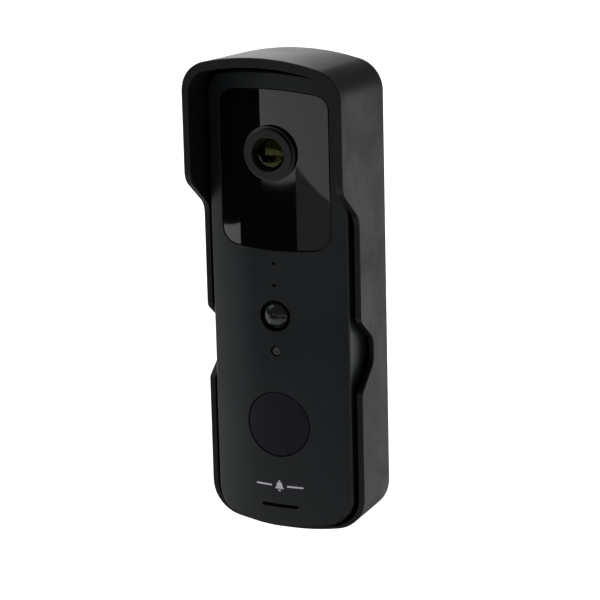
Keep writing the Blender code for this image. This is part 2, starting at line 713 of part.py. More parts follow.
def make_main_board():
    """The board behind the camera, its shielded modules, the aerial and the reset switch."""
    board = block(-18.0 * MM, 18.0 * MM, MAIN_BOARD_Y, MAIN_BOARD_Y + BOARD_T, 0.0, 57.0 * MM)
    add_object("main_board", board, "board_green", smooth=False)
    foot = MAIN_BOARD_Y - GAP
    radio = block(-14.0 * MM, -2.0 * MM, foot, foot - 2.4 * MM, 2.0 * MM, 18.0 * MM)
    add_object("radio_module", radio, "steel", smooth=False)
    shield = block(2.0 * MM, 15.0 * MM, foot, foot - 1.8 * MM, 2.0 * MM, 22.0 * MM)
    add_object("processor_shield", shield, "steel", smooth=False)
    aerial = block(-19.6 * MM, -19.3 * MM, -17.5 * MM, -11.5 * MM, 22.0 * MM, 52.0 * MM)
    add_object("aerial", aerial, "brass", smooth=False)

    rear = MAIN_BOARD_Y + BOARD_T + GAP
    switch_t = 1.6 * MM
    switch = block(-2.0 * MM, 2.0 * MM, rear, rear + switch_t, RESET_Z - 2.0 * MM, RESET_Z + 2.0 * MM)
    add_object("reset_switch", switch, "part_white", smooth=False)
    stem = rear + switch_t + 0.6 * MM
    button = [(0.0, stem), (1.0 * MM, stem), (1.0 * MM, stem + 0.8 * MM), (RESET_R, stem + 0.8 * MM)]
    button += [(RESET_R, BODY_BACK_Y - 0.4 * MM), (0.0, BODY_BACK_Y - 0.4 * MM)]
    add_object("reset_button", turned_y(button, 0.0, RESET_Z, 20), "part_white")


# ---------------------------------------------------------------- battery


def make_spring(name, x):
    """A coil spring under one cell, standing on the lower contact."""
    turns, steps, sides = 3, 12, 6
    wire_r, coil_r = 0.35 * MM, 3.0 * MM
    low = TRAY_BOTTOM + TRAY_WALL + GAP + wire_r
    high = CELL_BOTTOM - GAP - wire_r
    bm = bmesh.new()
    rings = []
    for i in range(turns * steps + 1):
        angle = 2 * math.pi * i / steps
        middle = Vector((x + coil_r * math.cos(angle), CELL_Y + coil_r * math.sin(angle), 0.0))
        middle.z = low + (high - low) * i / (turns * steps)
        out = Vector((math.cos(angle), math.sin(angle), 0.0))
        ring = []
        for j in range(sides):
            turn = 2 * math.pi * j / sides
            offset = out * (wire_r * math.cos(turn)) + Vector((0.0, 0.0, wire_r * math.sin(turn)))
            ring.append(bm.verts.new(middle + offset))
        rings.append([bm.edges.new((ring[j - 1], ring[j])) for j in range(sides)])
        if i in (0, turns * steps):
            bm.faces.new(ring)
    for first, second in zip(rings, rings[1:]):
        bmesh.ops.bridge_loops(bm, edges=first + second)
    add_object(name, bm, "steel")


def make_battery():
    """Two cells side by side in their tray, with a spring below and a contact above each."""
    tray = add_object(
        "battery_tray",
        block(-TRAY_HALF_W, TRAY_HALF_W, TRAY_FRONT_Y, TRAY_BACK_Y, TRAY_BOTTOM, TRAY_TOP),
        "part_black",
        smooth=False,
    )
    wall = TRAY_WALL
    room = block(
        wall - TRAY_HALF_W,
        TRAY_HALF_W - wall,
        TRAY_FRONT_Y + wall,
        0.0,
        TRAY_BOTTOM + wall,
        TRAY_TOP - wall,
    )
    cut(tray, room, "room")
    for name, side in (("left", -1), ("right", 1)):
        cell = bmesh.new()
        length = CELL_TOP - CELL_BOTTOM
        middle = Matrix.Translation((side * CELL_X, CELL_Y, (CELL_TOP + CELL_BOTTOM) / 2))
        bmesh.ops.create_cone(
            cell, cap_ends=True, segments=32, radius1=CELL_R, radius2=CELL_R, depth=length, matrix=middle
        )
        body = add_object(f"battery_cell_{name}", cell, "cell_blue")
        nub = bmesh.new()
        place = Matrix.Translation((side * CELL_X, CELL_Y, CELL_TOP + 0.4 * MM))
        bmesh.ops.create_cone(
            nub, cap_ends=True, segments=16, radius1=2.6 * MM, radius2=2.6 * MM, depth=1.6 * MM, matrix=place
        )
        join(body, nub, "terminal")
        make_spring(f"battery_spring_{name}", side * CELL_X)
        top = block(
            side * CELL_X - 4.0 * MM,
            side * CELL_X + 4.0 * MM,
            CELL_Y - 4.0 * MM,
            CELL_Y + 4.0 * MM,
            CELL_TOP + 1.5 * MM,
            TRAY_TOP - wall - GAP,
        )
        add_object(f"battery_contact_{name}", top, "brass", smooth=False)


def make_battery_door():
    """The sliding door over the cells, with its seal."""
    door = add_object(
        "battery_door",
        block(
            -DOOR_HALF_W, DOOR_HALF_W, BODY_BACK_Y - 0.1 * MM, BODY_BACK_Y - DOOR_T, DOOR_BOTTOM, DOOR_TOP
        ),
        "shell_black",
        smooth=False,
    )
    for i in range(GRIP_GROOVES):
        z = DOOR_BOTTOM + 4.0 * MM + GRIP_PITCH * i
        groove = block(-5.0 * MM, 5.0 * MM, 0.0, BODY_BACK_Y - 0.5 * MM, z - 0.4 * MM, z + 0.4 * MM)
        cut(door, groove, f"grip_{i + 1}")
    front = BODY_BACK_Y - DOOR_T - GAP
    seal = add_object(
        "battery_door_seal",
        block(-SEAL_HALF_W, SEAL_HALF_W, front, front - SEAL_W, DOOR_BOTTOM + 0.5 * MM, DOOR_TOP - 0.4 * MM),
        "rubber_black",
        smooth=False,
    )
    half_w = SEAL_HALF_W - SEAL_W
    middle = block(-half_w, half_w, 0.0, -10 * MM, DOOR_BOTTOM + 1.3 * MM, DOOR_TOP - 1.2 * MM)
    cut(seal, middle, "middle")


# ---------------------------------------------------------------- charging port and screws


def make_charging_port():
    """The charging socket at the bottom of the rear pan and the rubber bung that closes it."""
    socket = add_object(
        "charging_socket",
        block(-4.6 * MM, 4.6 * MM, PORT_Y - 1.7 * MM, PORT_Y + 1.7 * MM, -69.6 * MM, -64.6 * MM),
        "steel",
        smooth=False,
    )
    mouth = block(-4.2 * MM, 4.2 * MM, PORT_Y - 1.3 * MM, PORT_Y + 1.3 * MM, -72.0 * MM, -65.6 * MM)
    cut(socket, mouth, "mouth")
    flange = block(
        -BUNG_HALF_W,
        BUNG_HALF_W,
        PORT_Y - BUNG_HALF_D,
        PORT_Y + BUNG_HALF_D,
        BODY_BOTTOM,
        BODY_BOTTOM + 0.8 * MM,
    )
    bung = add_object("charging_port_bung", flange, "rubber_black", smooth=False)
    plug = block(
        -3.8 * MM, 3.8 * MM, PORT_Y - 0.9 * MM, PORT_Y + 0.9 * MM, BODY_BOTTOM + 0.4 * MM, BODY_BOTTOM + 3.6 * MM
    )
    join(bung, plug, "plug")


def make_case_screws():
    """Four screws through the rear pan into the front tub's bosses."""
    head_front = SCREW_SEAT_Y + GAP
    for row, z in zip(("upper", "lower"), SCREW_ZS):
        for column, side in (("left", -1), ("right", 1)):
            head_back = head_front + 1.2 * MM
            profile = [(0.0, head_back - 0.6 * MM), (0.8 * MM, head_back - 0.6 * MM), (0.8 * MM, head_back)]
            profile += [(1.8 * MM, head_back), (1.8 * MM, head_front), (0.9 * MM, head_front)]
            profile += [(0.9 * MM, head_front - SCREW_SHANK), (0.0, head_front - SCREW_SHANK - 0.7 * MM)]
            screw = turned_y(list(reversed(profile)), side * SCREW_X, z, 12)
            add_object(f"case_screw_{row}_{column}", screw, "steel")


if __name__ == "__main__":
    clear_scene()
    make_rain_cover()
    make_front_shell()
    make_back_shell()
    make_shell_gasket()
    make_window_panel()
    make_camera()
    make_ir_lights()
    make_front_board()
    make_call_button()
    make_speaker()
    make_main_board()
    make_battery()
    make_battery_door()
    make_charging_port()
    make_case_screws()
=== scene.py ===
"""The looks of a battery video doorbell seated in its rain cover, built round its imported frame.

Everything is in metres in the frame's own axes: the wall is at Y = 0, the visitor stands towards -Y
and +Z is up. Each visible shell is a sheet with openings whose edges are swept into fillets and
walls, then bent to the crowned face. Round parts are turned. The inner parts keep their frame
meshes and get their own finishes.
"""

import logging
import math
from collections.abc import Callable, Sequence
from dataclasses import dataclass, field, replace
from enum import Enum

import bmesh
import bpy
from bmesh.types import BMesh, BMVert
from mathutils import Matrix, Vector


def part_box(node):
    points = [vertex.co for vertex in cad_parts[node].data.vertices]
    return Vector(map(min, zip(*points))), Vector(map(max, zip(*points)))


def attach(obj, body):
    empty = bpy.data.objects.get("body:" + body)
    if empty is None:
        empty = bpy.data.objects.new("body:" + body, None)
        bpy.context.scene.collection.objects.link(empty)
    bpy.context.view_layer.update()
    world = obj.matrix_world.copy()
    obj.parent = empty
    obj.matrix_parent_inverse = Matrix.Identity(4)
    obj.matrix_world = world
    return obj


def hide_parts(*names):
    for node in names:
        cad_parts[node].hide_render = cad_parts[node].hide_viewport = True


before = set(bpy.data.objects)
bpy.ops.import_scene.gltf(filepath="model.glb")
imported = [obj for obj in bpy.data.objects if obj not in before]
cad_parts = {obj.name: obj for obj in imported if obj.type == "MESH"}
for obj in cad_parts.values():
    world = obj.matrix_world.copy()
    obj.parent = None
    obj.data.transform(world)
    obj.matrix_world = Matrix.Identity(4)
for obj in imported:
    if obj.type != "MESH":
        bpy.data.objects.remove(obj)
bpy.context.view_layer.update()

log = logging.getLogger("doorbell")

MM = 0.001
MERGE = 0.002 * MM
SLIVER = 0.001 * MM
BOW_STEPS = 7
Point = tuple[float, float]
Point3 = tuple[float, float, float]
Colour = tuple[float, float, float]
Ring = list[BMVert]


class Body(Enum):
    """The moving bodies of the frame."""

    COVER = "rain_cover"
    DOORBELL = "doorbell"
    BUTTON = "call_button"
    DOOR = "battery_door"
    BUNG = "charging_port_bung"
    RESET = "reset_button"


class Facing(Enum):
    """Which way a sheet's front looks; the value is the direction in Y of its depth."""

    VISITOR = 1
    WALL = -1


# ---------------------------------------------------------------- places read from the frame


@dataclass(frozen=True)
class Place:
    """The box that a frame node fills."""

    low: Vector
    high: Vector

    @classmethod
    def of(cls, node: str) -> "Place":
        """Read a node's box from the frame."""
        return cls(*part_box(node))

    @property
    def mid(self) -> Vector:
        """The middle of the box."""
        return (self.low + self.high) / 2

    @property
    def size(self) -> Vector:
        """The box's three side lengths."""
        return self.high - self.low


# ---------------------------------------------------------------- outlines


def in_mm(*places: Point) -> list[Point]:
    """Return places that are given in millimetres in metres."""
    return [(a * MM, b * MM) for a, b in places]


def quarter_turn(steps: int) -> list[float]:
    """Return the angles of a quarter turn, both ends included."""
    return [math.pi / 2 * k / steps for k in range(steps + 1)]


def dome(radius: float, rim: float, tip: float, steps: int) -> list[Point]:
    """Return the (radius, y) profile of a dome from its tip out to its rim."""
    return [(radius * math.sin(a), rim + (tip - rim) * math.cos(a)) for a in quarter_turn(steps)]


def arc(centre: Point, radius: float, start: float, end: float, steps: int) -> list[Point]:
    """Return the points of a circular arc, both ends included.

    Args:
        centre: The arc's centre.
        radius: Its radius.
        start: The first angle in radians.
        end: The last angle in radians.
        steps: How many equal steps lie between them.

    Returns:
        The points from start to end.
    """
    angles = [start + (end - start) * i / steps for i in range(steps + 1)]
    return [(centre[0] + radius * math.cos(a), centre[1] + radius * math.sin(a)) for a in angles]


def circle(radius: float, x: float, z: float, steps: int = 48) -> list[Point]:
    """Return the points of a circle about x, z."""
    return arc((x, z), radius, 0.0, 2 * math.pi, steps)[:-1]


def rounded_path(corners: Sequence[Point3], steps: int = 4) -> list[Point]:
    """Round the corners of an open path.

    Args:
        corners: The (a, b, radius) of each corner; a radius of nothing keeps it sharp.
        steps: How many steps each arc has.

    Returns:
        The points of the rounded path.
    """
    points: list[Point] = []
    for i, (a, b, radius) in enumerate(corners):
        if radius == 0.0:
            points.append((a, b))
            continue
        here = Vector((a, b))
        into = (Vector(corners[i - 1][:2]) - here).normalized()
        onward = (Vector(corners[i + 1][:2]) - here).normalized()
        half = into.angle(onward) / 2
        centre = here + (into + onward).normalized() * (radius / math.sin(half))
        first = here + into * (radius / math.tan(half)) - centre
        last = here + onward * (radius / math.tan(half)) - centre
        start = math.atan2(first.y, first.x)
        sweep = math.atan2(first.x * last.y - first.y * last.x, first.dot(last))
        points += arc(tuple(centre), radius, start, start + sweep, steps)
    return points


def round_over(radius: float, steps: int = 4, start: float = 0.0) -> list[Point]:
    """Return the (outward, deeper) steps of a rounded edge that begins at a distance outward."""
    turns = quarter_turn(steps)[1:]
    return [(start + radius * math.sin(a), radius * (1 - math.cos(a))) for a in turns]


@dataclass(frozen=True)
class Outline:
    """A tall outline with straight sides, bowed ends and round corners, seen from the front."""

    half_w: float
    top: float
    bottom: float
    top_corner: float
    bottom_corner: float
    top_bow: float = 10.0
    bottom_bow: float = 10.0
    bow_from: float = 0.0
    corner_steps: int = 10

    @classmethod
    def about(
        cls, half_w: float, half_h: float, corner: float, z: float = 0.0, steps: int = 5
    ) -> "Outline":
        """Return a plain rounded rectangle about x = 0 and the given height."""
        return cls(half_w, z + half_h, z - half_h, corner, corner, corner_steps=steps)

    def drawn_in(self, by: float) -> "Outline":
        """Return the same outline drawn in by a distance.

        Args:
            by: The distance.

        Returns:
            The smaller outline.
        """
        return replace(
            self,
            half_w=self.half_w - by,
            top=self.top - by,
            bottom=self.bottom + by,
            top_corner=self.top_corner - by,
            bottom_corner=self.bottom_corner - by,
            top_bow=self.top_bow - by,
            bottom_bow=self.bottom_bow - by,
        )

    def quarter(self, height: float, bow: float, corner: float) -> list[Point]:
        """Return the right half of one bowed end, from the side to the middle.

        Args:
            height: The height of the bow's crest.
            bow: The radius of the bow.
            corner: The radius of the corner.

        Returns:
            The points of the corner and then of the bow.
        """
        bow_z = height - bow
        rise = math.sqrt((bow - corner) ** 2 - (self.half_w - corner) ** 2)
        lean = math.atan2(rise, self.half_w - corner)
        turn = arc((self.half_w - corner, bow_z + rise), corner, 0.0, lean, self.corner_steps)
        start = self.bow_from or turn[-1][0] * (1 - 1 / BOW_STEPS)
        steps = BOW_STEPS if self.bow_from else BOW_STEPS - 1
        xs = [start * (1 - k / steps) for k in range(steps + 1)]
        return turn + [(x, bow_z + math.sqrt(bow**2 - x**2)) for x in xs]

    def points(self, side_zs: Sequence[float] = ()) -> list[Point]:
        """Return the whole outline, anticlockwise for a visitor.

        Args:
            side_zs: The heights at which the sides have extra points.

        Returns:
            The outline's points.
        """
        right_top = self.quarter(self.top, self.top_bow, self.top_corner)
        left_top = [(-x, z) for x, z in reversed(right_top[:-1])]
        low = self.quarter(-self.bottom, self.bottom_bow, self.bottom_corner)
        right_low = [(x, -z) for x, z in low]
        left_low = [(-x, z) for x, z in right_low[:-1]]
        up = [(self.half_w, z) for z in sorted(side_zs)]
        down = [(-x, z) for x, z in reversed(up)]
        return right_top + left_top + down + left_low + list(reversed(right_low)) + up


# ---------------------------------------------------------------- the crowned face


@dataclass(frozen=True)
class Crown:
    """The upright cylinder that the doorbell's face is part of."""

    half_w: float = 22.5 * MM
    rise: float = 4.35 * MM

    @property
    def radius(self) -> float:
        """The cylinder's radius."""
        return (self.half_w**2 + self.rise**2) / (2 * self.rise)

    def fall(self, x: float) -> float:
        """Return how far the face falls back at x."""
        return self.radius - math.sqrt(self.radius**2 - x**2)

    def smooth(self, mesh: bpy.types.Mesh, near: float = 12.0) -> None:
        """Give the bent face the cylinder's own normals, so that gloss mirrors evenly in it.

        Args:
            mesh: The mesh of a bent shape.
            near: How many degrees from the cylinder's normal a corner may be to take it.
        """
        normals = [corner.vector.copy() for corner in mesh.corner_normals]
        for polygon in mesh.polygons:
            for i in polygon.loop_indices:
                x = mesh.vertices[mesh.loops[i].vertex_index].co.x
                true = Vector((x, -math.sqrt(self.radius**2 - x**2), 0.0)).normalized()
                turns = [normal.angle(true, math.tau) for normal in (polygon.normal, normals[i])]
                if min(turns) < math.radians(near):
                    normals[i] = true
        mesh.normals_split_custom_set(normals)


CROWN = Crown()


# ---------------------------------------------------------------- shader node groups


def add_node(tree: bpy.types.NodeTree, kind: str, **values: object) -> bpy.types.Node:
    """Add a node to a tree and set it up.

    Args:
        tree: The tree.
        kind: The node's type.
        **values: Its properties and, for names with a capital, its input sockets.

    Returns:
        The node.
    """
    node = tree.nodes.new(kind)
    for name, value in values.items():
        if name[0].isupper():
            node.inputs[name.replace("_", " ")].default_value = value
        else:
            setattr(node, name, value)
    return node


def new_group(name: str, inputs: dict[str, float], outputs: Sequence[str]) -> bpy.types.NodeTree:
    """Make an empty shader node group.

    Args:
        name: The group's name.
        inputs: Its number sockets and their defaults, besides the Vector that each group reads.
        outputs: Its number outputs.

    Returns:
        The group, with its input and output nodes in place.
    """
    tree = bpy.data.node_groups.new(name, "ShaderNodeTree")
    tree.interface.new_socket("Vector", in_out="INPUT", socket_type="NodeSocketVector")
    for title, value in inputs.items():
        socket = tree.interface.new_socket(title, in_out="INPUT", socket_type="NodeSocketFloat")
        socket.default_value = value
    for title in outputs:
        tree.interface.new_socket(title, in_out="OUTPUT", socket_type="NodeSocketFloat")
    tree.nodes.new("NodeGroupInput").name = "in"
    tree.nodes.new("NodeGroupOutput").name = "out"
    return tree


def build_grain() -> bpy.types.NodeTree:
    """Build the group for a spark-eroded mould's grain: a fine pitted height.

    Returns:
        The group, which puts out Height.
    """
    tree = new_group("mould_grain", {"Scale": 4000.0}, ["Height"])
    given, out = tree.nodes["in"], tree.nodes["out"]
    pits = add_node(tree, "ShaderNodeTexVoronoi", feature="SMOOTH_F1", Smoothness=0.6)
    noise = add_node(tree, "ShaderNodeTexNoise", Detail=2.0, Roughness=0.6)
    pit_share = 0.6
    both = add_node(tree, "ShaderNodeMath", operation="MULTIPLY_ADD")
    both.inputs[1].default_value = pit_share
    for texture in (pits, noise):
        tree.links.new(given.outputs["Vector"], texture.inputs["Vector"])
        tree.links.new(given.outputs["Scale"], texture.inputs["Scale"])
    tree.links.new(pits.outputs["Distance"], both.inputs[0])
    tree.links.new(noise.outputs["Fac"], both.inputs[2])
    tree.links.new(both.outputs[0], out.inputs["Height"])
    return tree


def build_handling() -> bpy.types.NodeTree:
    """Build the group for soft handling marks: a broad mask and a fine dusting of specks.

    Returns:
        The group, which puts out Patches and Specks.
    """
    scales = {"Patch Scale": 45.0, "Speck Scale": 900.0}
    tree = new_group("handling_marks", scales, ["Patches", "Specks"])
    given, out = tree.nodes["in"], tree.nodes["out"]
    broad = add_node(tree, "ShaderNodeTexNoise", Detail=3.0, Roughness=0.55, Distortion=0.8)
    fine = add_node(tree, "ShaderNodeTexNoise", Detail=2.0, Roughness=0.7)
    spread = add_node(tree, "ShaderNodeMapRange", From_Min=0.35, From_Max=0.65)
    pick = add_node(tree, "ShaderNodeMapRange", From_Min=0.62, From_Max=0.78)
    for texture, scale in ((broad, "Patch Scale"), (fine, "Speck Scale")):
        tree.links.new(given.outputs["Vector"], texture.inputs["Vector"])
        tree.links.new(given.outputs[scale], texture.inputs["Scale"])
    tree.links.new(broad.outputs["Fac"], spread.inputs["Value"])
    tree.links.new(fine.outputs["Fac"], pick.inputs["Value"])
    tree.links.new(spread.outputs["Result"], out.inputs["Patches"])
    tree.links.new(pick.outputs["Result"], out.inputs["Specks"])
    return tree


GRAIN = build_grain()
HANDLING = build_handling()


# ---------------------------------------------------------------- finishes


@dataclass(frozen=True)
class Finish:
    """A moulded, turned or painted finish: its colour, its grain and how it takes handling.

    Colours are linear. The grain and the patches are counted per metre, and `sockets` holds what
    else the shader needs.
    """

    name: str
    colour: Colour
    marked: Colour
    roughness: float
    gloss_drift: float = 0.06
    metallic: float = 0.0
    grain: float = 4500.0
    grain_depth: float = 0.0
    patch_scale: float = 45.0
    coat: float = 0.0
    specular: float = 0.5
    tint: Colour = (1.0, 1.0, 1.0)
    sockets: tuple[tuple[str, float], ...] = ()

    def build(self) -> bpy.types.Material:
        """Make the material once, for every piece with this finish to share.

        Returns:
            The material.
        """
        found = bpy.data.materials.get(self.name)
        if found:
            return found
        made = bpy.data.materials.new(self.name)
        made.use_nodes = True
        tree = made.node_tree
        shader = tree.nodes["Principled BSDF"]
        shader.inputs["Metallic"].default_value = self.metallic
        shader.inputs["Coat Weight"].default_value = self.coat
        shader.inputs["Specular IOR Level"].default_value = self.specular
        shader.inputs["Specular Tint"].default_value = (*self.tint, 1.0)
        for title, value in self.sockets:
            shader.inputs[title].default_value = value
        where = add_node(tree, "ShaderNodeTexCoord")
        marks = add_node(tree, "ShaderNodeGroup", node_tree=HANDLING, Patch_Scale=self.patch_scale)
        tree.links.new(where.outputs["Object"], marks.inputs["Vector"])
        self.paint(tree, shader, where, marks)
        glossy = max(self.roughness - self.gloss_drift, 0.0)
        dull = self.roughness + self.gloss_drift
        sheen = add_node(tree, "ShaderNodeMapRange", To_Min=glossy, To_Max=dull)
        tree.links.new(marks.outputs["Patches"], sheen.inputs["Value"])
        tree.links.new(sheen.outputs["Result"], shader.inputs["Roughness"])
        if self.grain_depth:
            grain = add_node(tree, "ShaderNodeGroup", node_tree=GRAIN, Scale=self.grain)
            bump = add_node(tree, "ShaderNodeBump", Strength=self.grain_depth, Distance=0.02 * MM)
            tree.links.new(where.outputs["Object"], grain.inputs["Vector"])
            tree.links.new(grain.outputs["Height"], bump.inputs["Height"])
            tree.links.new(bump.outputs["Normal"], shader.inputs["Normal"])
        return made

    def paint(
        self,
        tree: bpy.types.NodeTree,
        shader: bpy.types.Node,
        where: bpy.types.Node,
        marks: bpy.types.Node,
    ) -> None:
        """Mix the two colours by the broad patches and the specks.

        Args:
            tree: The material's node tree.
            shader: Its Principled shader.
            where: Its texture coordinates; not used here.
            marks: Its handling marks.
        """
        amount = add_node(tree, "ShaderNodeMath", operation="MAXIMUM")
        mix = add_node(tree, "ShaderNodeMix", data_type="RGBA")
        mix.inputs[6].default_value = (*self.colour, 1.0)
        mix.inputs[7].default_value = (*self.marked, 1.0)
        tree.links.new(marks.outputs["Patches"], amount.inputs[0])
        tree.links.new(marks.outputs["Specks"], amount.inputs[1])
        tree.links.new(amount.outputs[0], mix.inputs["Factor"])
        tree.links.new(mix.outputs[2], shader.inputs["Base Color"])


@dataclass(frozen=True)
class Banded(Finish):
    """A finish whose colours change in bands, such as tracks on a board or the wrap of a cell."""

    bands: float = 600.0
    share: float = 0.5

    def paint(
        self,
        tree: bpy.types.NodeTree,
        shader: bpy.types.Node,
        where: bpy.types.Node,
        marks: bpy.types.Node,
    ) -> None:
        """Draw the bands with a brick pattern in the plane of the face.

        Args:
            tree: The material's node tree.
            shader: Its Principled shader.
            where: Its texture coordinates.
            marks: Its handling marks; not used here.
        """
        turn = add_node(tree, "ShaderNodeMapping", Rotation=(math.pi / 2, 0.0, 0.0))
        brick = add_node(
            tree,
            "ShaderNodeTexBrick",
            Color1=(*self.colour, 1.0),
            Color2=tuple(0.8 * c for c in self.colour) + (1.0,),
            Mortar=(*self.marked, 1.0),
            Scale=self.bands,
            Mortar_Size=0.03 * self.share,
            Bias=0.1,
        )
        tree.links.new(where.outputs["Object"], turn.inputs["Vector"])
        tree.links.new(turn.outputs["Vector"], brick.inputs["Vector"])
        tree.links.new(brick.outputs["Color"], shader.inputs["Base Color"])


SHELL = Finish(
    "matt_black_shell",
    colour=(0.0042, 0.0058, 0.0068),
    marked=(0.0052, 0.0068, 0.0078),
    roughness=0.38,
    grain_depth=0.25,
    specular=0.17,
)
COVER = Finish(
    "matt_black_cover",
    colour=(0.0042, 0.0042, 0.0044),
    marked=(0.0052, 0.0052, 0.0052),
    roughness=0.46,
    grain_depth=0.3,
    specular=0.14,
)
BUTTON = Finish(
    "button_black",
    colour=(0.002, 0.0026, 0.0048),
    marked=(0.0026, 0.0032, 0.0054),
    roughness=0.46,
    grain_depth=0.2,
    specular=0.12,
)
WINDOW = Finish(
    "gloss_window",
    colour=(0.0004, 0.0004, 0.0006),
    marked=(0.0006, 0.0006, 0.0008),
    roughness=0.035,
    gloss_drift=0.015,
    specular=0.45,
)
BEZEL = Finish(
    "satin_bezel",
    colour=(0.0065, 0.0065, 0.0063),
    marked=(0.0085, 0.0085, 0.008),
    roughness=0.4,
    grain=6000.0,
    grain_depth=0.2,
    specular=0.2,
)
BARREL = Finish(
    "baffle_black",
    colour=(0.001, 0.001, 0.001),
    marked=(0.002, 0.002, 0.002),
    roughness=0.6,
    specular=0.1,
)
GLASS = Finish(
    "coated_glass",
    colour=(0.3, 0.31, 0.2),
    marked=(0.26, 0.28, 0.18),
    roughness=0.012,
    gloss_drift=0.008,
    tint=(0.42, 0.43, 0.15),
    sockets=(("Transmission Weight", 1.0), ("IOR", 1.5)),
)
COATING = Finish(
    "green_coating",
    colour=(0.02, 0.022, 0.003),
    marked=(0.012, 0.016, 0.004),
    roughness=0.2,
    gloss_drift=0.04,
    metallic=0.5,
)
SMOKE = Finish(
    "smoked_dome",
    colour=(0.005, 0.006, 0.0065),
    marked=(0.007, 0.008, 0.0085),
    roughness=0.17,
    gloss_drift=0.03,
    specular=0.28,
)
GUIDE = Finish(
    "smoked_guide",
    colour=(0.008, 0.009, 0.009),
    marked=(0.011, 0.012, 0.012),
    roughness=0.4,
)
RUBBER = Finish(
    "soft_rubber",
    colour=(0.012, 0.012, 0.012),
    marked=(0.018, 0.018, 0.018),
    roughness=0.75,
    grain=3000.0,
    grain_depth=0.3,
)
WHITE = Finish(
    "moulded_white",
    colour=(0.62, 0.62, 0.6),
    marked=(0.56, 0.56, 0.54),
    roughness=0.45,
    grain_depth=0.15,
)
BLACK = Finish(
    "moulded_black",
    colour=(0.014, 0.014, 0.014),
    marked=(0.02, 0.02, 0.02),
    roughness=0.42,
    grain_depth=0.25,
)
STEEL = Finish(
    "bright_steel",
    colour=(0.52, 0.52, 0.53),
    marked=(0.44, 0.44, 0.45),
    roughness=0.28,
    metallic=1.0,
    grain=2500.0,
    grain_depth=0.1,
)
GOLD = Finish(
    "gold_contact",
    colour=(0.68, 0.5, 0.22),
    marked=(0.6, 0.43, 0.18),
    roughness=0.3,
    metallic=1.0,
)
BOARD = Banded(
    "solder_mask",
    colour=(0.012, 0.07, 0.03),
    marked=(0.02, 0.115, 0.05),
    roughness=0.38,
    coat=0.3,
    bands=420.0,
)
FLEX = Banded(
    "amber_flex",
    colour=(0.3, 0.12, 0.02),
    marked=(0.42, 0.2, 0.04),
    roughness=0.35,
    bands=1300.0,
)
CELL = Banded(
    "cell_wrap",
    colour=(0.03, 0.09, 0.26),
    marked=(0.3, 0.32, 0.34),
    roughness=0.32,
    coat=0.4,
    bands=26.0,
    share=1.6,
)
INK = Finish(
    "printed_ink",
    colour=(0.36, 0.36, 0.39),
    marked=(0.33, 0.33, 0.36),
    roughness=0.55,
    patch_scale=400.0,
)


# ---------------------------------------------------------------- shaping


def show(name: str, data: bpy.types.ID) -> bpy.types.Object:
    """Put a new object in the scene.

    Args:
        name: Its name.
        data: Its mesh, light or camera.

    Returns:
        The object.
    """
    thing = bpy.data.objects.new(name, data)
    bpy.context.scene.collection.objects.link(thing)
    return thing


@dataclass(frozen=True)
class Port:
    """A rounded rectangular port in a shell's lowest wall, whose faces are all under `below`."""

    half_w: float
    front: float
    back: float
    below: float
    corner: float

    def holds(self, face: bmesh.types.BMFace) -> bool:
        """Tell whether a face of the wall lies in the port."""
        c = face.calc_center_median()
        return c.z < self.below and abs(c.x) < self.half_w and self.front < c.y < self.back

    def is_corner(self, vert: BMVert) -> bool:
        """Tell whether a vertex stands at a corner of the port.

        Args:
            vert: The vertex.

        Returns:
            Whether it does.
        """
        off_side = abs(abs(vert.co.x) - self.half_w)
        off_end = min(abs(vert.co.y - self.front), abs(vert.co.y - self.back))
        return max(off_side, off_end) < 0.05 * MM


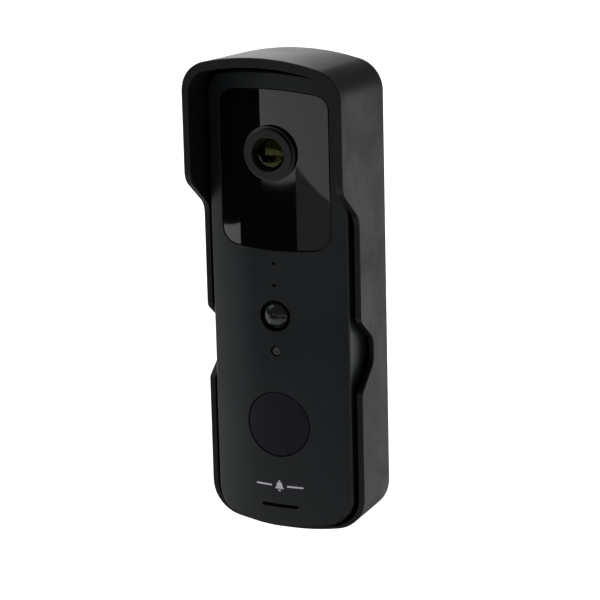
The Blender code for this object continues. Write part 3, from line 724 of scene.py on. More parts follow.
@dataclass
class Shape:
    """A bmesh being shaped, with the few moves that every piece here is made by.

    A sheet lies at `face` in Y and its depth runs away from the side it is seen from.
    """

    face: float = 0.0
    facing: Facing = Facing.VISITOR
    bm: BMesh = field(default_factory=bmesh.new)
    bent: bool = False

    def ring(self, points: Sequence[Point], depth: float = 0.0) -> Ring:
        """Draw a closed ring of edges.

        Args:
            points: Its (x, z) points.
            depth: How deep below the face it lies.

        Returns:
            The ring.
        """
        y = self.face + self.facing.value * depth
        verts = [self.bm.verts.new((x, y, z)) for x, z in points]
        for i, vert in enumerate(verts):
            self.bm.edges.new((verts[i - 1], vert))
        return verts

    def edges(self, ring: Ring) -> list[bmesh.types.BMEdge]:
        """Return the edges along a ring."""
        return [self.bm.edges.get((ring[i - 1], ring[i])) for i in range(len(ring))]

    def grow(self, ring: Ring, place: Callable[[int], Vector]) -> Ring:
        """Extrude a ring and put each new vertex in its place.

        Args:
            ring: The ring to extrude.
            place: Gives the new place of the vertex with that number.

        Returns:
            The new ring, in the same order.
        """
        made = bmesh.ops.extrude_edge_only(self.bm, edges=self.edges(ring))["geom"]
        fresh = {v for v in made if isinstance(v, BMVert)}
        across = [[edge.other_vert(vert) for edge in vert.link_edges] for vert in ring]
        grown = [next(far for far in fars if far in fresh) for fars in across]
        for i, vert in enumerate(grown):
            vert.co = place(i)
        return grown

    def sweep(self, ring: Ring, path: Sequence[Point], hole: bool = False) -> Ring:
        """Extrude a ring along a path of (outward, deeper) places measured from where it lies.

        Args:
            ring: The ring, anticlockwise for a visitor.
            path: The places, outward being towards the middle for a hole.
            hole: Whether the ring bounds an opening.

        Returns:
            The last ring.
        """
        base = [v.co.copy() for v in ring]
        out = []
        for i, here in enumerate(base):
            along = base[(i + 1) % len(base)] - base[i - 1]
            out.append(Vector((along.z, 0.0, -along.x)).normalized() * (-1 if hole else 1))
        for outward, deeper in path:
            down = Vector((0.0, self.facing.value * deeper, 0.0))
            ring = self.grow(ring, lambda i: base[i] + out[i] * outward + down)
        return ring

    def fill(self, *rings: Ring) -> None:
        """Fill the sheet between an outer ring and the rings of its openings."""
        edges = [edge for ring in rings for edge in self.edges(ring)]
        bmesh.ops.triangle_fill(self.bm, use_beauty=True, use_dissolve=False, edges=edges)

    def turn(self, profile: Sequence[Point], segments: int = 64) -> None:
        """Spin a profile about the Y axis.

        Args:
            profile: Its (radius, y) points.
            segments: How many steps the full turn takes.
        """
        verts = [self.bm.verts.new((radius, y, 0.0)) for radius, y in profile]
        edges = [self.bm.edges.new(pair) for pair in zip(verts, verts[1:])]
        bmesh.ops.spin(
            self.bm,
            geom=verts + edges,
            cent=(0.0, 0.0, 0.0),
            axis=(0.0, 1.0, 0.0),
            angle=2 * math.pi,
            steps=segments,
            use_merge=True,
            use_duplicate=False,
        )

    def shift(self, x: float = 0.0, y: float = 0.0, z: float = 0.0) -> None:
        """Move the whole shape."""
        bmesh.ops.translate(self.bm, vec=(x, y, z), verts=self.bm.verts)

    def bend(self, zone: float, pitch: float = 0.75 * MM) -> None:
        """Slice the shape into upright strips and let the part near its face follow the crown.

        Args:
            zone: How deep below the face the bending reaches.
            pitch: The width of a strip.
        """
        reach = max(v.co.x for v in self.bm.verts)
        count = int(reach / pitch)
        for k in range(-count, count + 1):
            bmesh.ops.bisect_plane(
                self.bm,
                geom=[*self.bm.verts, *self.bm.edges, *self.bm.faces],
                dist=SLIVER,
                plane_co=(k * pitch, 0.0, 0.0),
                plane_no=(1.0, 0.0, 0.0),
            )
        for vert in self.bm.verts:
            if vert.co.y < self.face + zone:
                vert.co.y += CROWN.fall(vert.co.x)
        self.bent = True

    def merge(self) -> None:
        """Merge the vertices that lie on each other."""
        bmesh.ops.remove_doubles(self.bm, verts=self.bm.verts, dist=MERGE)

    def pierce(self, port: Port) -> None:
        """Open a port through both faces of a wall.

        Args:
            port: The port.
        """
        bmesh.ops.delete(self.bm, geom=[f for f in self.bm.faces if port.holds(f)], context="FACES")
        rims = [e for e in self.bm.edges if e.is_boundary]
        walls = bmesh.ops.bridge_loops(self.bm, edges=rims)["faces"]
        posts = {e for f in walls for e in f.edges if all(g in walls for g in e.link_faces)}
        bmesh.ops.bevel(
            self.bm,
            geom=[e for e in posts if all(port.is_corner(v) for v in e.verts)],
            offset=port.corner,
            segments=4,
            profile=0.5,
            affect="EDGES",
            material=-1,
        )

    def piece(
        self,
        name: str,
        body: Body,
        finish: Finish,
        slot: str,
        stands_for: Sequence[str] = (),
        sharp: float = 40.0,
    ) -> bpy.types.Object:
        """Finish the shape as a named piece that rides on its body.

        Args:
            name: The piece's name.
            body: The body that it rides on.
            finish: Its finish.
            slot: The record's material slot; not used.
            stands_for: The frame nodes that it replaces.
            sharp: The angle in degrees past which an edge is drawn sharp.

        Returns:
            The finished object.
        """
        self.merge()
        bmesh.ops.dissolve_degenerate(self.bm, edges=self.bm.edges, dist=SLIVER)
        bmesh.ops.recalc_face_normals(self.bm, faces=self.bm.faces)
        mesh = bpy.data.meshes.new(name)
        self.bm.to_mesh(mesh)
        open_edges = sum(1 for e in self.bm.edges if not e.is_manifold)
        self.bm.free()
        mesh.shade_smooth()
        mesh.set_sharp_from_angle(angle=math.radians(sharp))
        if self.bent:
            CROWN.smooth(mesh)
        mesh.materials.append(finish.build())
        thing = show(name, mesh)
        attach(thing, body.value)
        if stands_for:
            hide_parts(*stands_for)
        faces = len(mesh.polygons)
        log.info("%s: %d faces, %d open edges, rides on %s", name, faces, open_edges, body.value)
        return thing


# ---------------------------------------------------------------- rain cover


@dataclass(frozen=True)
class Fit:
    """The sizes that the cover, the doorbell's two shells and the fittings in its face share."""

    body: Outline = Outline(
        half_w=22.5 * MM,
        top=71.2 * MM,
        bottom=-71.0 * MM,
        top_corner=7.5 * MM,
        bottom_corner=8.5 * MM,
        top_bow=78 * MM,
        bottom_bow=82 * MM,
    )
    apex: float = -26.75 * MM
    wall: float = 1.8 * MM
    plate: float = 2.0 * MM
    ledge: float = 0.25 * MM
    stud_x_z: tuple[Point, ...] = ((12.0 * MM, 50.0 * MM), (18.3 * MM, -35.0 * MM))

    def studs(self) -> list[Point]:
        """Return the place of every stud, and so of the pocket that it enters."""
        return [(side * x, z) for x, z in self.stud_x_z for side in (-1, 1)]


FIT = Fit()
CORNERS = [f"{row}_{side}" for row in ("upper", "lower") for side in ("left", "right")]
SCREWS = [f"case_screw_{corner}" for corner in CORNERS]


@dataclass
class RainCover:
    """The deep outer shell, its hood over the camera and a finger notch in each side."""

    half_w: float = 25.3 * MM
    front_half_w: float = 25.85 * MM
    top: float = 73.3 * MM
    front_top: float = 76.4 * MM
    bottom: float = -73.3 * MM
    inner_half_w: float = 23.7 * MM
    inner_top: float = 72.0 * MM
    inner_front_top: float = 73.4 * MM
    inner_bottom: float = -72.1 * MM
    hood_y: float = -32.9 * MM
    rim_y: float = -20.9 * MM
    notch_y: float = -11.6 * MM
    back_edge: float = 1.0 * MM
    lip: float = 0.4 * MM
    inner_lip: float = 0.25 * MM
    floor_fillet: float = 0.5 * MM
    port: Port = Port(8.0 * MM, -10.6 * MM, -2.6 * MM, below=-71.0 * MM, corner=1.2 * MM)
    wall_hole_zs: Point = (40.0 * MM, -40.0 * MM)
    sink_r: float = 4.35 * MM
    stud_foot_r: float = 1.85 * MM
    notch: Point = (-27.3 * MM, -4.6 * MM)
    notch_floor: Point = (-19.8 * MM, -12.2 * MM)
    hood: Point3 = (27.5 * MM, 37.6 * MM, 48.0 * MM)

    def side_line(self) -> list[Point]:
        """Return the (y, z) line of the rim up one side: low wall, finger notch, low wall, hood.

        Returns:
            The line's points.
        """
        corners = [
            (self.rim_y, self.bottom, 0.0),
            (self.rim_y, self.notch[0], 1.5 * MM),
            (self.notch_y, self.notch_floor[0], 5.0 * MM),
            (self.notch_y, self.notch_floor[1], 4.5 * MM),
            (self.rim_y, self.notch[1], 2.5 * MM),
            (self.rim_y, self.hood[0], 6.0 * MM),
            (self.hood_y, self.hood[1], 6.0 * MM),
            (self.hood_y, self.hood[2], 0.0),
        ]
        return rounded_path(corners, steps=8)

    def rim_at(self, z: float) -> float:
        """Return the rim's Y at a height.

        Args:
            z: The height.

        Returns:
            The rim's Y there.
        """
        line = self.side_line()
        for (y0, z0), (y1, z1) in zip(line, line[1:]):
            if z0 <= z <= z1:
                return y0 + (y1 - y0) * (z - z0) / max(z1 - z0, 1e-9)
        return self.hood_y if z > 0 else self.rim_y

    def outlines(self) -> dict[str, list[Point]]:
        """Draw the skins at the wall and at the hood's front, point for point alike.

        Returns:
            The points of each outline by its skin and place.
        """
        side_zs = [z for _, z in self.side_line()[1:-1]]
        start = self.port.half_w * BOW_STEPS / 4
        bows = {"top_bow": 78 * MM, "bottom_bow": 82 * MM, "bow_from": start}
        outer = Outline(self.half_w, self.top, self.bottom, 9.5 * MM, 11 * MM, **bows)
        inner = Outline(
            self.inner_half_w, self.inner_top, self.inner_bottom, 7.6 * MM, 9.6 * MM, **bows
        )
        plans = {
            "outer_back": outer,
            "outer_front": replace(outer, half_w=self.front_half_w, top=self.front_top),
            "inner_back": inner,
            "inner_front": replace(inner, top=self.inner_front_top),
        }
        return {name: plan.points(side_zs) for name, plan in plans.items()}

    def build(self) -> bpy.types.Object:
        """Build the cover as one closed shell and dress it.

        Returns:
            The rain cover's piece.
        """
        shape = Shape()
        back, floor = self.grow_walls(shape)
        shape.face = -FIT.plate
        back_rings, floor_rings = [back], [floor]
        for z in self.wall_hole_zs:
            floor_rings.append(shape.ring(circle(self.sink_r, 0.0, z)))
            through = in_mm((0.15, 0.08), (2.15, 1.0), (2.15, 1.8), (1.95, 2.0))
            back_rings.append(shape.sweep(floor_rings[-1], through, hole=True))
        for x, z in FIT.studs():
            floor_rings.append(shape.ring(circle(self.stud_foot_r, x, z, 32)))
            rise = in_mm((0.17, -0.08), (0.25, -0.25), (0.25, -1.4), (0.34, -1.61), (0.55, -1.7))
            shape.fill(shape.sweep(floor_rings[-1], rise, hole=True))
        shape.fill(*back_rings)
        shape.fill(*floor_rings)
        shape.merge()
        shape.pierce(self.port)
        return shape.piece("rain_cover_shell", Body.COVER, COVER, "cover", ["rain_cover"])

    def grow_walls(self, shape: Shape) -> tuple[Ring, Ring]:
        """Grow the outer skin from the wall to the rim, and the inner skin back down to the floor.

        Args:
            shape: The cover's empty shape.

        Returns:
            The first ring, on the wall, and the last, on the floor.
        """
        lines = self.outlines()
        count = len(lines["outer_back"])
        rims = [self.rim_at(z) for _, z in lines["outer_back"]]

        def wall(skin: str, i: int, y: float) -> Vector:
            """Return the point of the outer or inner skin with that number at a depth.

            Args:
                skin: The outer or the inner skin.
                i: The point's number.
                y: The depth.

            Returns:
                The point.
            """
            share = y / self.hood_y
            (x0, z0), (x1, z1) = lines[f"{skin}_back"][i], lines[f"{skin}_front"][i]
            return Vector((x0 + (x1 - x0) * share, y, z0 + (z1 - z0) * share))

        def inward(skin: str, i: int) -> Vector:
            """Return the direction from the skin towards the cover's inside.

            Args:
                skin: The outer or the inner skin.
                i: The point's number.

            Returns:
                The unit direction.
            """
            line = lines[f"{skin}_back"]
            (x0, z0), (x1, z1) = line[i - 1], line[(i + 1) % count]
            return Vector((z0 - z1, 0.0, x1 - x0)).normalized()

        def station(
            skin: str,
            inset: float,
            y: float | None = None,
            behind_rim: float = 0.0,
            share: float = 1.0,
        ) -> Callable[[int], Vector]:
            """Place one ring at a depth, or at a share of the way from the port to the rim.

            Args:
                skin: The outer or the inner skin.
                inset: How far inward of the skin the ring lies.
                y: Its depth, where that is the same all round.
                behind_rim: How far behind the rim it lies, where it follows the rim.
                share: Its share of that way.

            Returns:
                The function that places a vertex by its number.
            """

            def place(i: int) -> Vector:
                """Return the place of the vertex with that number."""
                depth = low + (rims[i] + behind_rim - low) * share if y is None else y
                return wall(skin, i, depth) + inward(skin, i) * inset

            return place

        edge, lip, small, fillet = self.back_edge, self.lip, self.inner_lip, self.floor_fillet
        spare, floor, low, high = FIT.ledge, -FIT.plate, self.port.front, self.port.back
        shares = (0.25, 0.5, 0.75, 1.0)
        stations = [station("outer", edge, 0.0)]
        stations += [station("outer", edge - out, -down) for out, down in round_over(edge, 5)]
        stations += [station("outer", 0.0, y) for y in (-edge - spare, high, low)]
        stations += [station("outer", 0.0, behind_rim=lip + spare, share=s) for s in shares]
        stations += [station("outer", 0.0, behind_rim=lip)]
        stations += [station("outer", down, behind_rim=lip - out) for out, down in round_over(lip)]
        stations += [station("outer", lip + 0.15 * MM)]
        stations += [station("inner", -small - 0.1 * MM), station("inner", -small)]
        rounded, behind = round_over(small, 3), small + spare
        stations += [station("inner", out - small, behind_rim=down) for out, down in rounded]
        stations += [station("inner", 0.0, behind_rim=behind, share=s) for s in shares[::-1]]
        stations += [station("inner", 0.0, y) for y in (low, high, floor - fillet)]
        cove = round_over(fillet)
        stations += [station("inner", down, floor - fillet + out) for out, down in cove]
        stations += [station("inner", fillet + spare, floor)]

        first = station("outer", edge + spare, 0.0)
        back = [shape.bm.verts.new(first(i)) for i in range(count)]
        for i, vert in enumerate(back):
            shape.bm.edges.new((back[i - 1], vert))
        ring = back
        for place in stations:
            ring = shape.grow(ring, place)
        return back, ring


# ---------------------------------------------------------------- doorbell shells


@dataclass
class FrontShell:
    """The deep front tub with the crowned face and every opening in it."""

    window: Outline = Outline(
        half_w=17.9 * MM,
        top=66.1 * MM,
        bottom=16.7 * MM,
        top_corner=4.8 * MM,
        bottom_corner=5.2 * MM,
        top_bow=78 * MM,
        bottom_bow=160 * MM,
    )
    seam: float = -10.3 * MM
    edge: float = 0.7 * MM
    chamfer: float = 0.2 * MM
    window_depth: float = 1.5 * MM
    window_ledge: float = 2.5 * MM
    window_gap: float = 0.15 * MM
    window_setback: float = 0.2 * MM
    bezel_hole_r: float = 6.95 * MM
    button_gap: float = 0.22 * MM
    mic_r: float = 0.5 * MM
    pir_r: float = 4.9 * MM
    guide_r: float = 1.65 * MM
    slot: Outline = Outline.about(6.0 * MM, 0.5 * MM, 0.42 * MM, -64.2 * MM, 4)

    def opening(self, shape: Shape, points: Sequence[Point], soft: float) -> tuple[Ring, Ring]:
        """Cut an opening straight through the face.

        Args:
            shape: The shell being shaped.
            points: The opening's own outline.
            soft: The radius of its rounded edge.

        Returns:
            The rings at the face and at the inner face.
        """
        probe = Shape()
        rim = probe.sweep(probe.ring(points), [(-soft - FIT.ledge / 2, 0.0)], hole=True)
        outer = shape.ring([(v.co.x, v.co.z) for v in rim])
        probe.bm.free()
        start = FIT.ledge / 2
        path = [(start, 0.0), *round_over(soft, 3, start), (start + soft, FIT.wall)]
        return outer, shape.sweep(outer, path, hole=True)

    def openings(self) -> list[tuple[list[Point], float]]:
        """List the openings that go straight through the face.

        Returns:
            Each opening's outline and the radius of its edge.
        """
        pin, fine, soft = 0.08 * MM, 0.12 * MM, 0.25 * MM
        button = Place.of("call_button")
        rounds = (
            ("microphone", self.mic_r, pin, 24),
            ("light_sensor", self.mic_r, pin, 24),
            ("motion_sensor_lens", self.pir_r, soft, 64),
            ("indicator_light_guide", self.guide_r, pin, 32),
            ("call_button", button.high.x + self.button_gap, fine, 96),
        )
        holes = []
        for node, radius, edge, steps in rounds:
            holes.append((circle(radius, 0.0, Place.of(node).mid.z, steps), edge))
        return [*holes, (self.slot.points(), fine)]

    def build(self) -> bpy.types.Object:
        """Build the shell as one closed solid and dress it.

        Returns:
            The front shell's piece.
        """
        shape = Shape(FIT.apex)
        full, deep = FIT.ledge + self.edge, self.seam - FIT.apex
        face = shape.ring(FIT.body.drawn_in(full).points())
        path = [(FIT.ledge, 0.0), *round_over(self.edge, 5, FIT.ledge)]
        path += [(full, self.edge + 0.3 * MM), (full, deep - self.chamfer)]
        path += [(full - self.chamfer, deep), (full - FIT.wall, deep)]
        path += [(full - FIT.wall, FIT.wall + 0.01 * MM)]
        tops, floors = [face], [shape.sweep(face, path)]
        for points, edge in self.openings():
            top, low = self.opening(shape, points, edge)
            tops.append(top)
            floors.append(low)

        soft, start = 0.15 * MM, FIT.ledge / 2
        tops.append(shape.ring(self.window.drawn_in(-soft - start).points()))
        full, wide = start + soft, start + soft + self.window_ledge
        path = [(start, 0.0), *round_over(soft, 3, start)]
        path += [(full, self.window_depth), (wide, self.window_depth), (wide, FIT.wall)]
        floors.append(shape.sweep(tops[-1], path, hole=True))
        shape.fill(*tops)
        shape.fill(*floors)
        shape.bend(FIT.wall + 0.1 * MM)
        return shape.piece("front_shell_skin", Body.DOORBELL, SHELL, "shell", ["front_shell"])

    def build_window(self) -> bpy.types.Object:
        """Build the curved glossy panel over the camera.

        Returns:
            The window's piece.
        """
        soft, deep = 0.3 * MM, self.window_depth - self.window_gap - self.window_setback
        shape = Shape(FIT.apex + self.window_setback)
        face = shape.ring(self.window.drawn_in(self.window_gap + soft).points())
        low = shape.sweep(face, [*round_over(soft), (soft, deep)])
        hole = shape.ring(circle(self.bezel_hole_r, 0.0, Place.of("lens_bezel").mid.z, 72))
        through = shape.sweep(hole, [(0.05 * MM, 0.05 * MM), (0.05 * MM, deep)], hole=True)
        shape.fill(face, hole)
        shape.fill(low, through)
        shape.bend(deep + 0.1 * MM)
        return shape.piece("window_pane", Body.DOORBELL, WINDOW, "window", ["window_panel"])


@dataclass
class BackShell:
    """The shallow rear pan, with its battery opening, screw seats, stud pockets and port."""

    back: float = -2.6 * MM
    seam: float = -10.0 * MM
    edge: float = 0.6 * MM
    chamfer: float = 0.2 * MM
    port_half_w: float = 6.8 * MM
    port_half_h: float = 2.9 * MM
    door_travel: float = 3.0 * MM
    door_gap: float = 0.3 * MM
    reset_hole_r: float = 2.0 * MM
    screw_hole_r: float = 2.35 * MM
    pillar_deep: float = 4.4 * MM
    pocket_r: float = 2.1 * MM

    def hatch(self) -> Outline:
        """Return the outline of the battery opening, with room for the door's travel.

        Returns:
            The outline.
        """
        door, travel = Place.of("battery_door"), self.door_travel
        half_h = (door.size.z + travel) / 2 + self.door_gap
        middle = (door.high.z + door.low.z - travel) / 2
        return Outline.about(door.high.x + self.door_gap, half_h, 0.8 * MM, middle)

    def build(self) -> bpy.types.Object:
        """Build the pan as one closed solid and dress it.

        Returns:
            The back shell's piece.
        """
        shape = Shape(self.back, Facing.WALL)
        port_y = Place.of("charging_port_bung").mid.y
        port = Port(
            self.port_half_w,
            port_y - self.port_half_h,
            port_y + self.port_half_h,
            below=-68.0 * MM,
            corner=0.8 * MM,
        )
        plan = replace(FIT.body, bow_from=self.port_half_w * BOW_STEPS / 4)
        start = shape.ring(plan.drawn_in(self.edge).points())
        deep, wall = self.back - self.seam, self.edge - FIT.wall
        near, far = self.back - port.back, self.back - port.front
        path = [*round_over(self.edge), (self.edge, near), (self.edge, far)]
        path += [(self.edge, deep - self.chamfer), (self.edge - self.chamfer, deep), (wall, deep)]
        path += [(wall, far), (wall, near), (wall, FIT.plate)]
        tops, floors = [start], [shape.sweep(start, path)]

        def open_through(points: Sequence[Point], *places: Point) -> None:
            """Sweep an opening along a path from the back to the inner face.

            Args:
                points: The opening's outline.
                *places: The (outward, deeper) places before the inner face, in millimetres.
            """
            tops.append(shape.ring(points))
            inner = (places[-1][0] * MM, FIT.plate)
            floors.append(shape.sweep(tops[-1], [*in_mm(*places), inner], hole=True))

        open_through(self.hatch().drawn_in(-0.2 * MM).points(), (0.06, 0.02), (0.2, 0.2))
        reset_z = Place.of("reset_button").mid.z
        open_through(circle(self.reset_hole_r, 0.0, reset_z), (0.1, 0.1))
        bottom = self.pillar_deep / MM
        pillar = ((0.15, 0.15), (0.15, 2.0), (1.15, 2.0), (1.15, bottom), (-0.55, bottom))
        for node in SCREWS:
            spot = Place.of(node).mid
            open_through(circle(self.screw_hole_r, spot.x, spot.z, 32), *pillar)
        for x, z in FIT.studs():
            tops.append(shape.ring(circle(self.pocket_r, x, z, 32)))
            shape.fill(shape.sweep(tops[-1], in_mm((0.1, 0.1), (0.1, 1.4)), hole=True))
        shape.fill(*tops)
        shape.fill(*floors)
        shape.pierce(port)
        return shape.piece("back_shell_skin", Body.DOORBELL, SHELL, "shell", ["back_shell"])


# ---------------------------------------------------------------- camera


@dataclass
class Camera:
    """The lens bezel, its baffled barrel and the glass in it."""

    base_r: float = 8.4 * MM
    front_r: float = 7.7 * MM
    mouth_r: float = 5.2 * MM
    tail_r: float = 6.6 * MM
    seat: float = -26.85 * MM
    tail: float = -23.4 * MM
    bore_r: float = 3.15 * MM
    throat: float = 1.3 * MM
    baffles: int = 5
    baffle_lip: float = 0.2 * MM
    element_r: float = 2.0 * MM
    holder_r: float = 2.9 * MM
    element_ys: Point3 = (-24.4 * MM, -23.6 * MM, -22.6 * MM)

    def turned(self, profile: Sequence[Point], segments: int) -> Shape:
        """Return a shape turned on the lens axis.

        Args:
            profile: Its (radius, y) points.
            segments: How many steps the full turn takes.

        Returns:
            The shape.
        """
        shape = Shape()
        shape.turn(profile, segments)
        shape.shift(z=Place.of("lens_bezel").mid.z)
        return shape

    def build_bezel(self) -> bpy.types.Object:
        """Turn the stepped bezel.

        Returns:
            The bezel's piece.
        """
        tip = Place.of("lens_bezel").low.y
        corners = [
            (self.mouth_r, self.tail, 0.0),
            (self.mouth_r, tip, 0.35 * MM),
            (self.front_r, tip, 0.3 * MM),
            (self.front_r + 0.12 * MM, tip + 1.0 * MM, 0.12 * MM),
            (self.base_r, tip + 1.25 * MM, 0.2 * MM),
            (self.base_r, self.seat, 0.12 * MM),
            (self.tail_r, self.seat, 0.1 * MM),
            (self.tail_r, self.tail, 0.0),
            (self.mouth_r, self.tail, 0.0),
        ]
        shape = self.turned(rounded_path(corners), 96)
        return shape.piece("lens_bezel_ring", Body.DOORBELL, BEZEL, "bezel", ["lens_bezel"])

    def build_barrel(self) -> bpy.types.Object:
        """Turn the barrel, whose cone has fine baffle steps.

        Returns:
            The barrel's piece.
        """
        node = Place.of("lens_barrel")
        outer, mouth_y, back = node.size.x / 2, node.low.y, node.high.y
        profile = [(outer, back), (outer, mouth_y)]
        first = outer - self.baffle_lip
        for k in range(self.baffles):
            radius = first - (first - self.bore_r) * k / self.baffles
            y = mouth_y + 0.05 * MM + self.throat * k / self.baffles
            profile += [(radius, y), (radius, y + self.throat / self.baffles)]
        bore_y = mouth_y + self.throat + 0.1 * MM
        profile += [(self.bore_r, bore_y), (self.bore_r, back), (outer, back)]
        shape = self.turned(profile, 80)
        name = "lens_barrel_baffles"
        return shape.piece(name, Body.DOORBELL, BARREL, "barrel", ["lens_barrel"], sharp=25.0)

    def build_glass(self) -> bpy.types.Object:
        """Turn the domed front glass.

        Returns:
            The glass's piece.
        """
        node = Place.of("lens_glass")
        radius, tip, back = node.size.x / 2, node.low.y, node.high.y
        front = dome(radius, back - 1.0 * MM, tip, 14)
        hollow = dome(0.8 * radius, back, back - 0.9 * MM, 10)
        shape = self.turned([*front, (radius, back), *reversed(hollow)], 64)
        return shape.piece("lens_front_glass", Body.DOORBELL, GLASS, "optic", ["lens_glass"])

    def build_inner_element(self) -> bpy.types.Object:
        """Turn the coated element behind the front glass, with the ring that holds it.

        Returns:
            The element's piece.
        """
        tip, rim, back = self.element_ys
        holder = [(self.holder_r, rim), (self.holder_r, back), (0.0, back)]
        shape = self.turned([*dome(self.element_r, rim, tip, 10), *holder], 48)
        return shape.piece("lens_inner_element", Body.DOORBELL, COATING, "optic")


# ---------------------------------------------------------------- face fittings


@dataclass
class FaceFittings:
    """The motion sensor's dome, the indicator, the call button and the printed mark."""

    dome_r: float = 4.1 * MM
    dome_foot: float = 1.6 * MM
    dome_wall: float = 0.6 * MM
    cap_wall: float = 1.6 * MM
    cap_setback: float = 0.12 * MM
    mark_z: float = -57.7 * MM
    ink: float = 0.03 * MM
    bell_r: float = 0.95 * MM
    clapper_r: float = 0.5 * MM
    bar: Point = (2.7 * MM, 0.28 * MM)
    bar_x: float = 5.2 * MM

    def build_dome(self) -> bpy.types.Object:
        """Turn the smoked dome over the motion sensor.

        Returns:
            The dome's piece.
        """
        node = Place.of("motion_sensor_lens")
        foot, tip, wall = FIT.apex + self.dome_foot, node.low.y, self.dome_wall
        inner_r = self.dome_r - wall
        skin, lining = dome(self.dome_r, foot, tip, 16), dome(inner_r, foot, tip + wall, 16)
        shape = Shape()
        foot_ring = [(self.dome_r, node.high.y), (inner_r, node.high.y)]
        shape.turn([*skin, *foot_ring, *reversed(lining)], 72)
        shape.shift(z=node.mid.z)
        stands_for = ["motion_sensor_lens"]
        return shape.piece("motion_sensor_dome", Body.DOORBELL, SMOKE, "smoke_lens", stands_for)

    def build_indicator(self) -> bpy.types.Object:
        """Turn the light guide of the indicator.

        Returns:
            The light guide's piece.
        """
        node = Place.of("indicator_light_guide")
        radius = node.size.x / 2
        corners = [
            (0.0, node.low.y + 0.12 * MM, 0.0),
            (radius * 0.55, node.low.y + 0.02 * MM, 0.8 * MM),
            (radius, node.low.y + 0.02 * MM, 0.15 * MM),
            (radius, node.high.y, 0.0),
            (0.0, node.high.y, 0.0),
        ]
        shape = Shape()
        shape.turn(rounded_path(corners, 3), 40)
        shape.shift(z=node.mid.z)
        stands_for = ["indicator_light_guide"]
        return shape.piece("indicator_window", Body.DOORBELL, GUIDE, "light_guide", stands_for)

    def build_button(self) -> bpy.types.Object:
        """Build the round call button, bent to the crown.

        Returns:
            The button's piece.
        """
        node = Place.of("call_button")
        radius, soft = node.size.x / 2, 0.3 * MM
        shape = Shape(FIT.apex + self.cap_setback)
        face = shape.ring(circle(radius - soft, 0.0, node.mid.z, 96))
        skirt = node.high.y - FIT.apex - self.cap_setback
        low = shape.sweep(face, [*round_over(soft), (soft, skirt), (soft - self.cap_wall, skirt)])
        floor = shape.sweep(low, [(0.0, -0.9 * MM)])
        shape.fill(face)
        shape.fill(floor)
        shape.bend(1.5 * MM)
        return shape.piece("call_button_cap", Body.BUTTON, BUTTON, "button", ["call_button"])

    def build_mark(self) -> bpy.types.Object:
        """Print a plain bell between two short bars, as a skin of ink on the face.

        Returns:
            The printed mark's piece.
        """
        shape = Shape(FIT.apex - self.ink)
        z, bell_r = self.mark_z, self.bell_r
        half = [(x, z + up) for x, up in in_mm((0.0, 1.75), (0.28, 1.62), (0.3, 1.2))]
        half += arc((0.0, z + 0.3 * MM), bell_r, math.radians(62), 0.0, 6)
        half += [(x, z + up) for x, up in in_mm((0.97, -0.1), (1.4, -0.75), (1.4, -0.97))]
        bell = half + [(-x, height) for x, height in reversed(half) if x > 0.0]
        clapper_z = z - 0.75 * MM - self.clapper_r
        clapper = arc((0.0, clapper_z), self.clapper_r, math.pi, 2 * math.pi, 8)
        ends = Outline.about(*self.bar, 0.26 * MM, z, 4).points()
        bars = [[(x + side * self.bar_x, height) for x, height in ends] for side in (-1, 1)]
        for outline in (list(reversed(bell)), clapper, *bars):
            top = shape.ring(outline)
            shape.fill(top)
            shape.fill(shape.sweep(top, [(0.0, 0.8 * self.ink)]))
        shape.bend(1.0 * MM, 0.5 * MM)
        return shape.piece("printed_bell_mark", Body.DOORBELL, INK, "white_part")


# ---------------------------------------------------------------- rear fittings


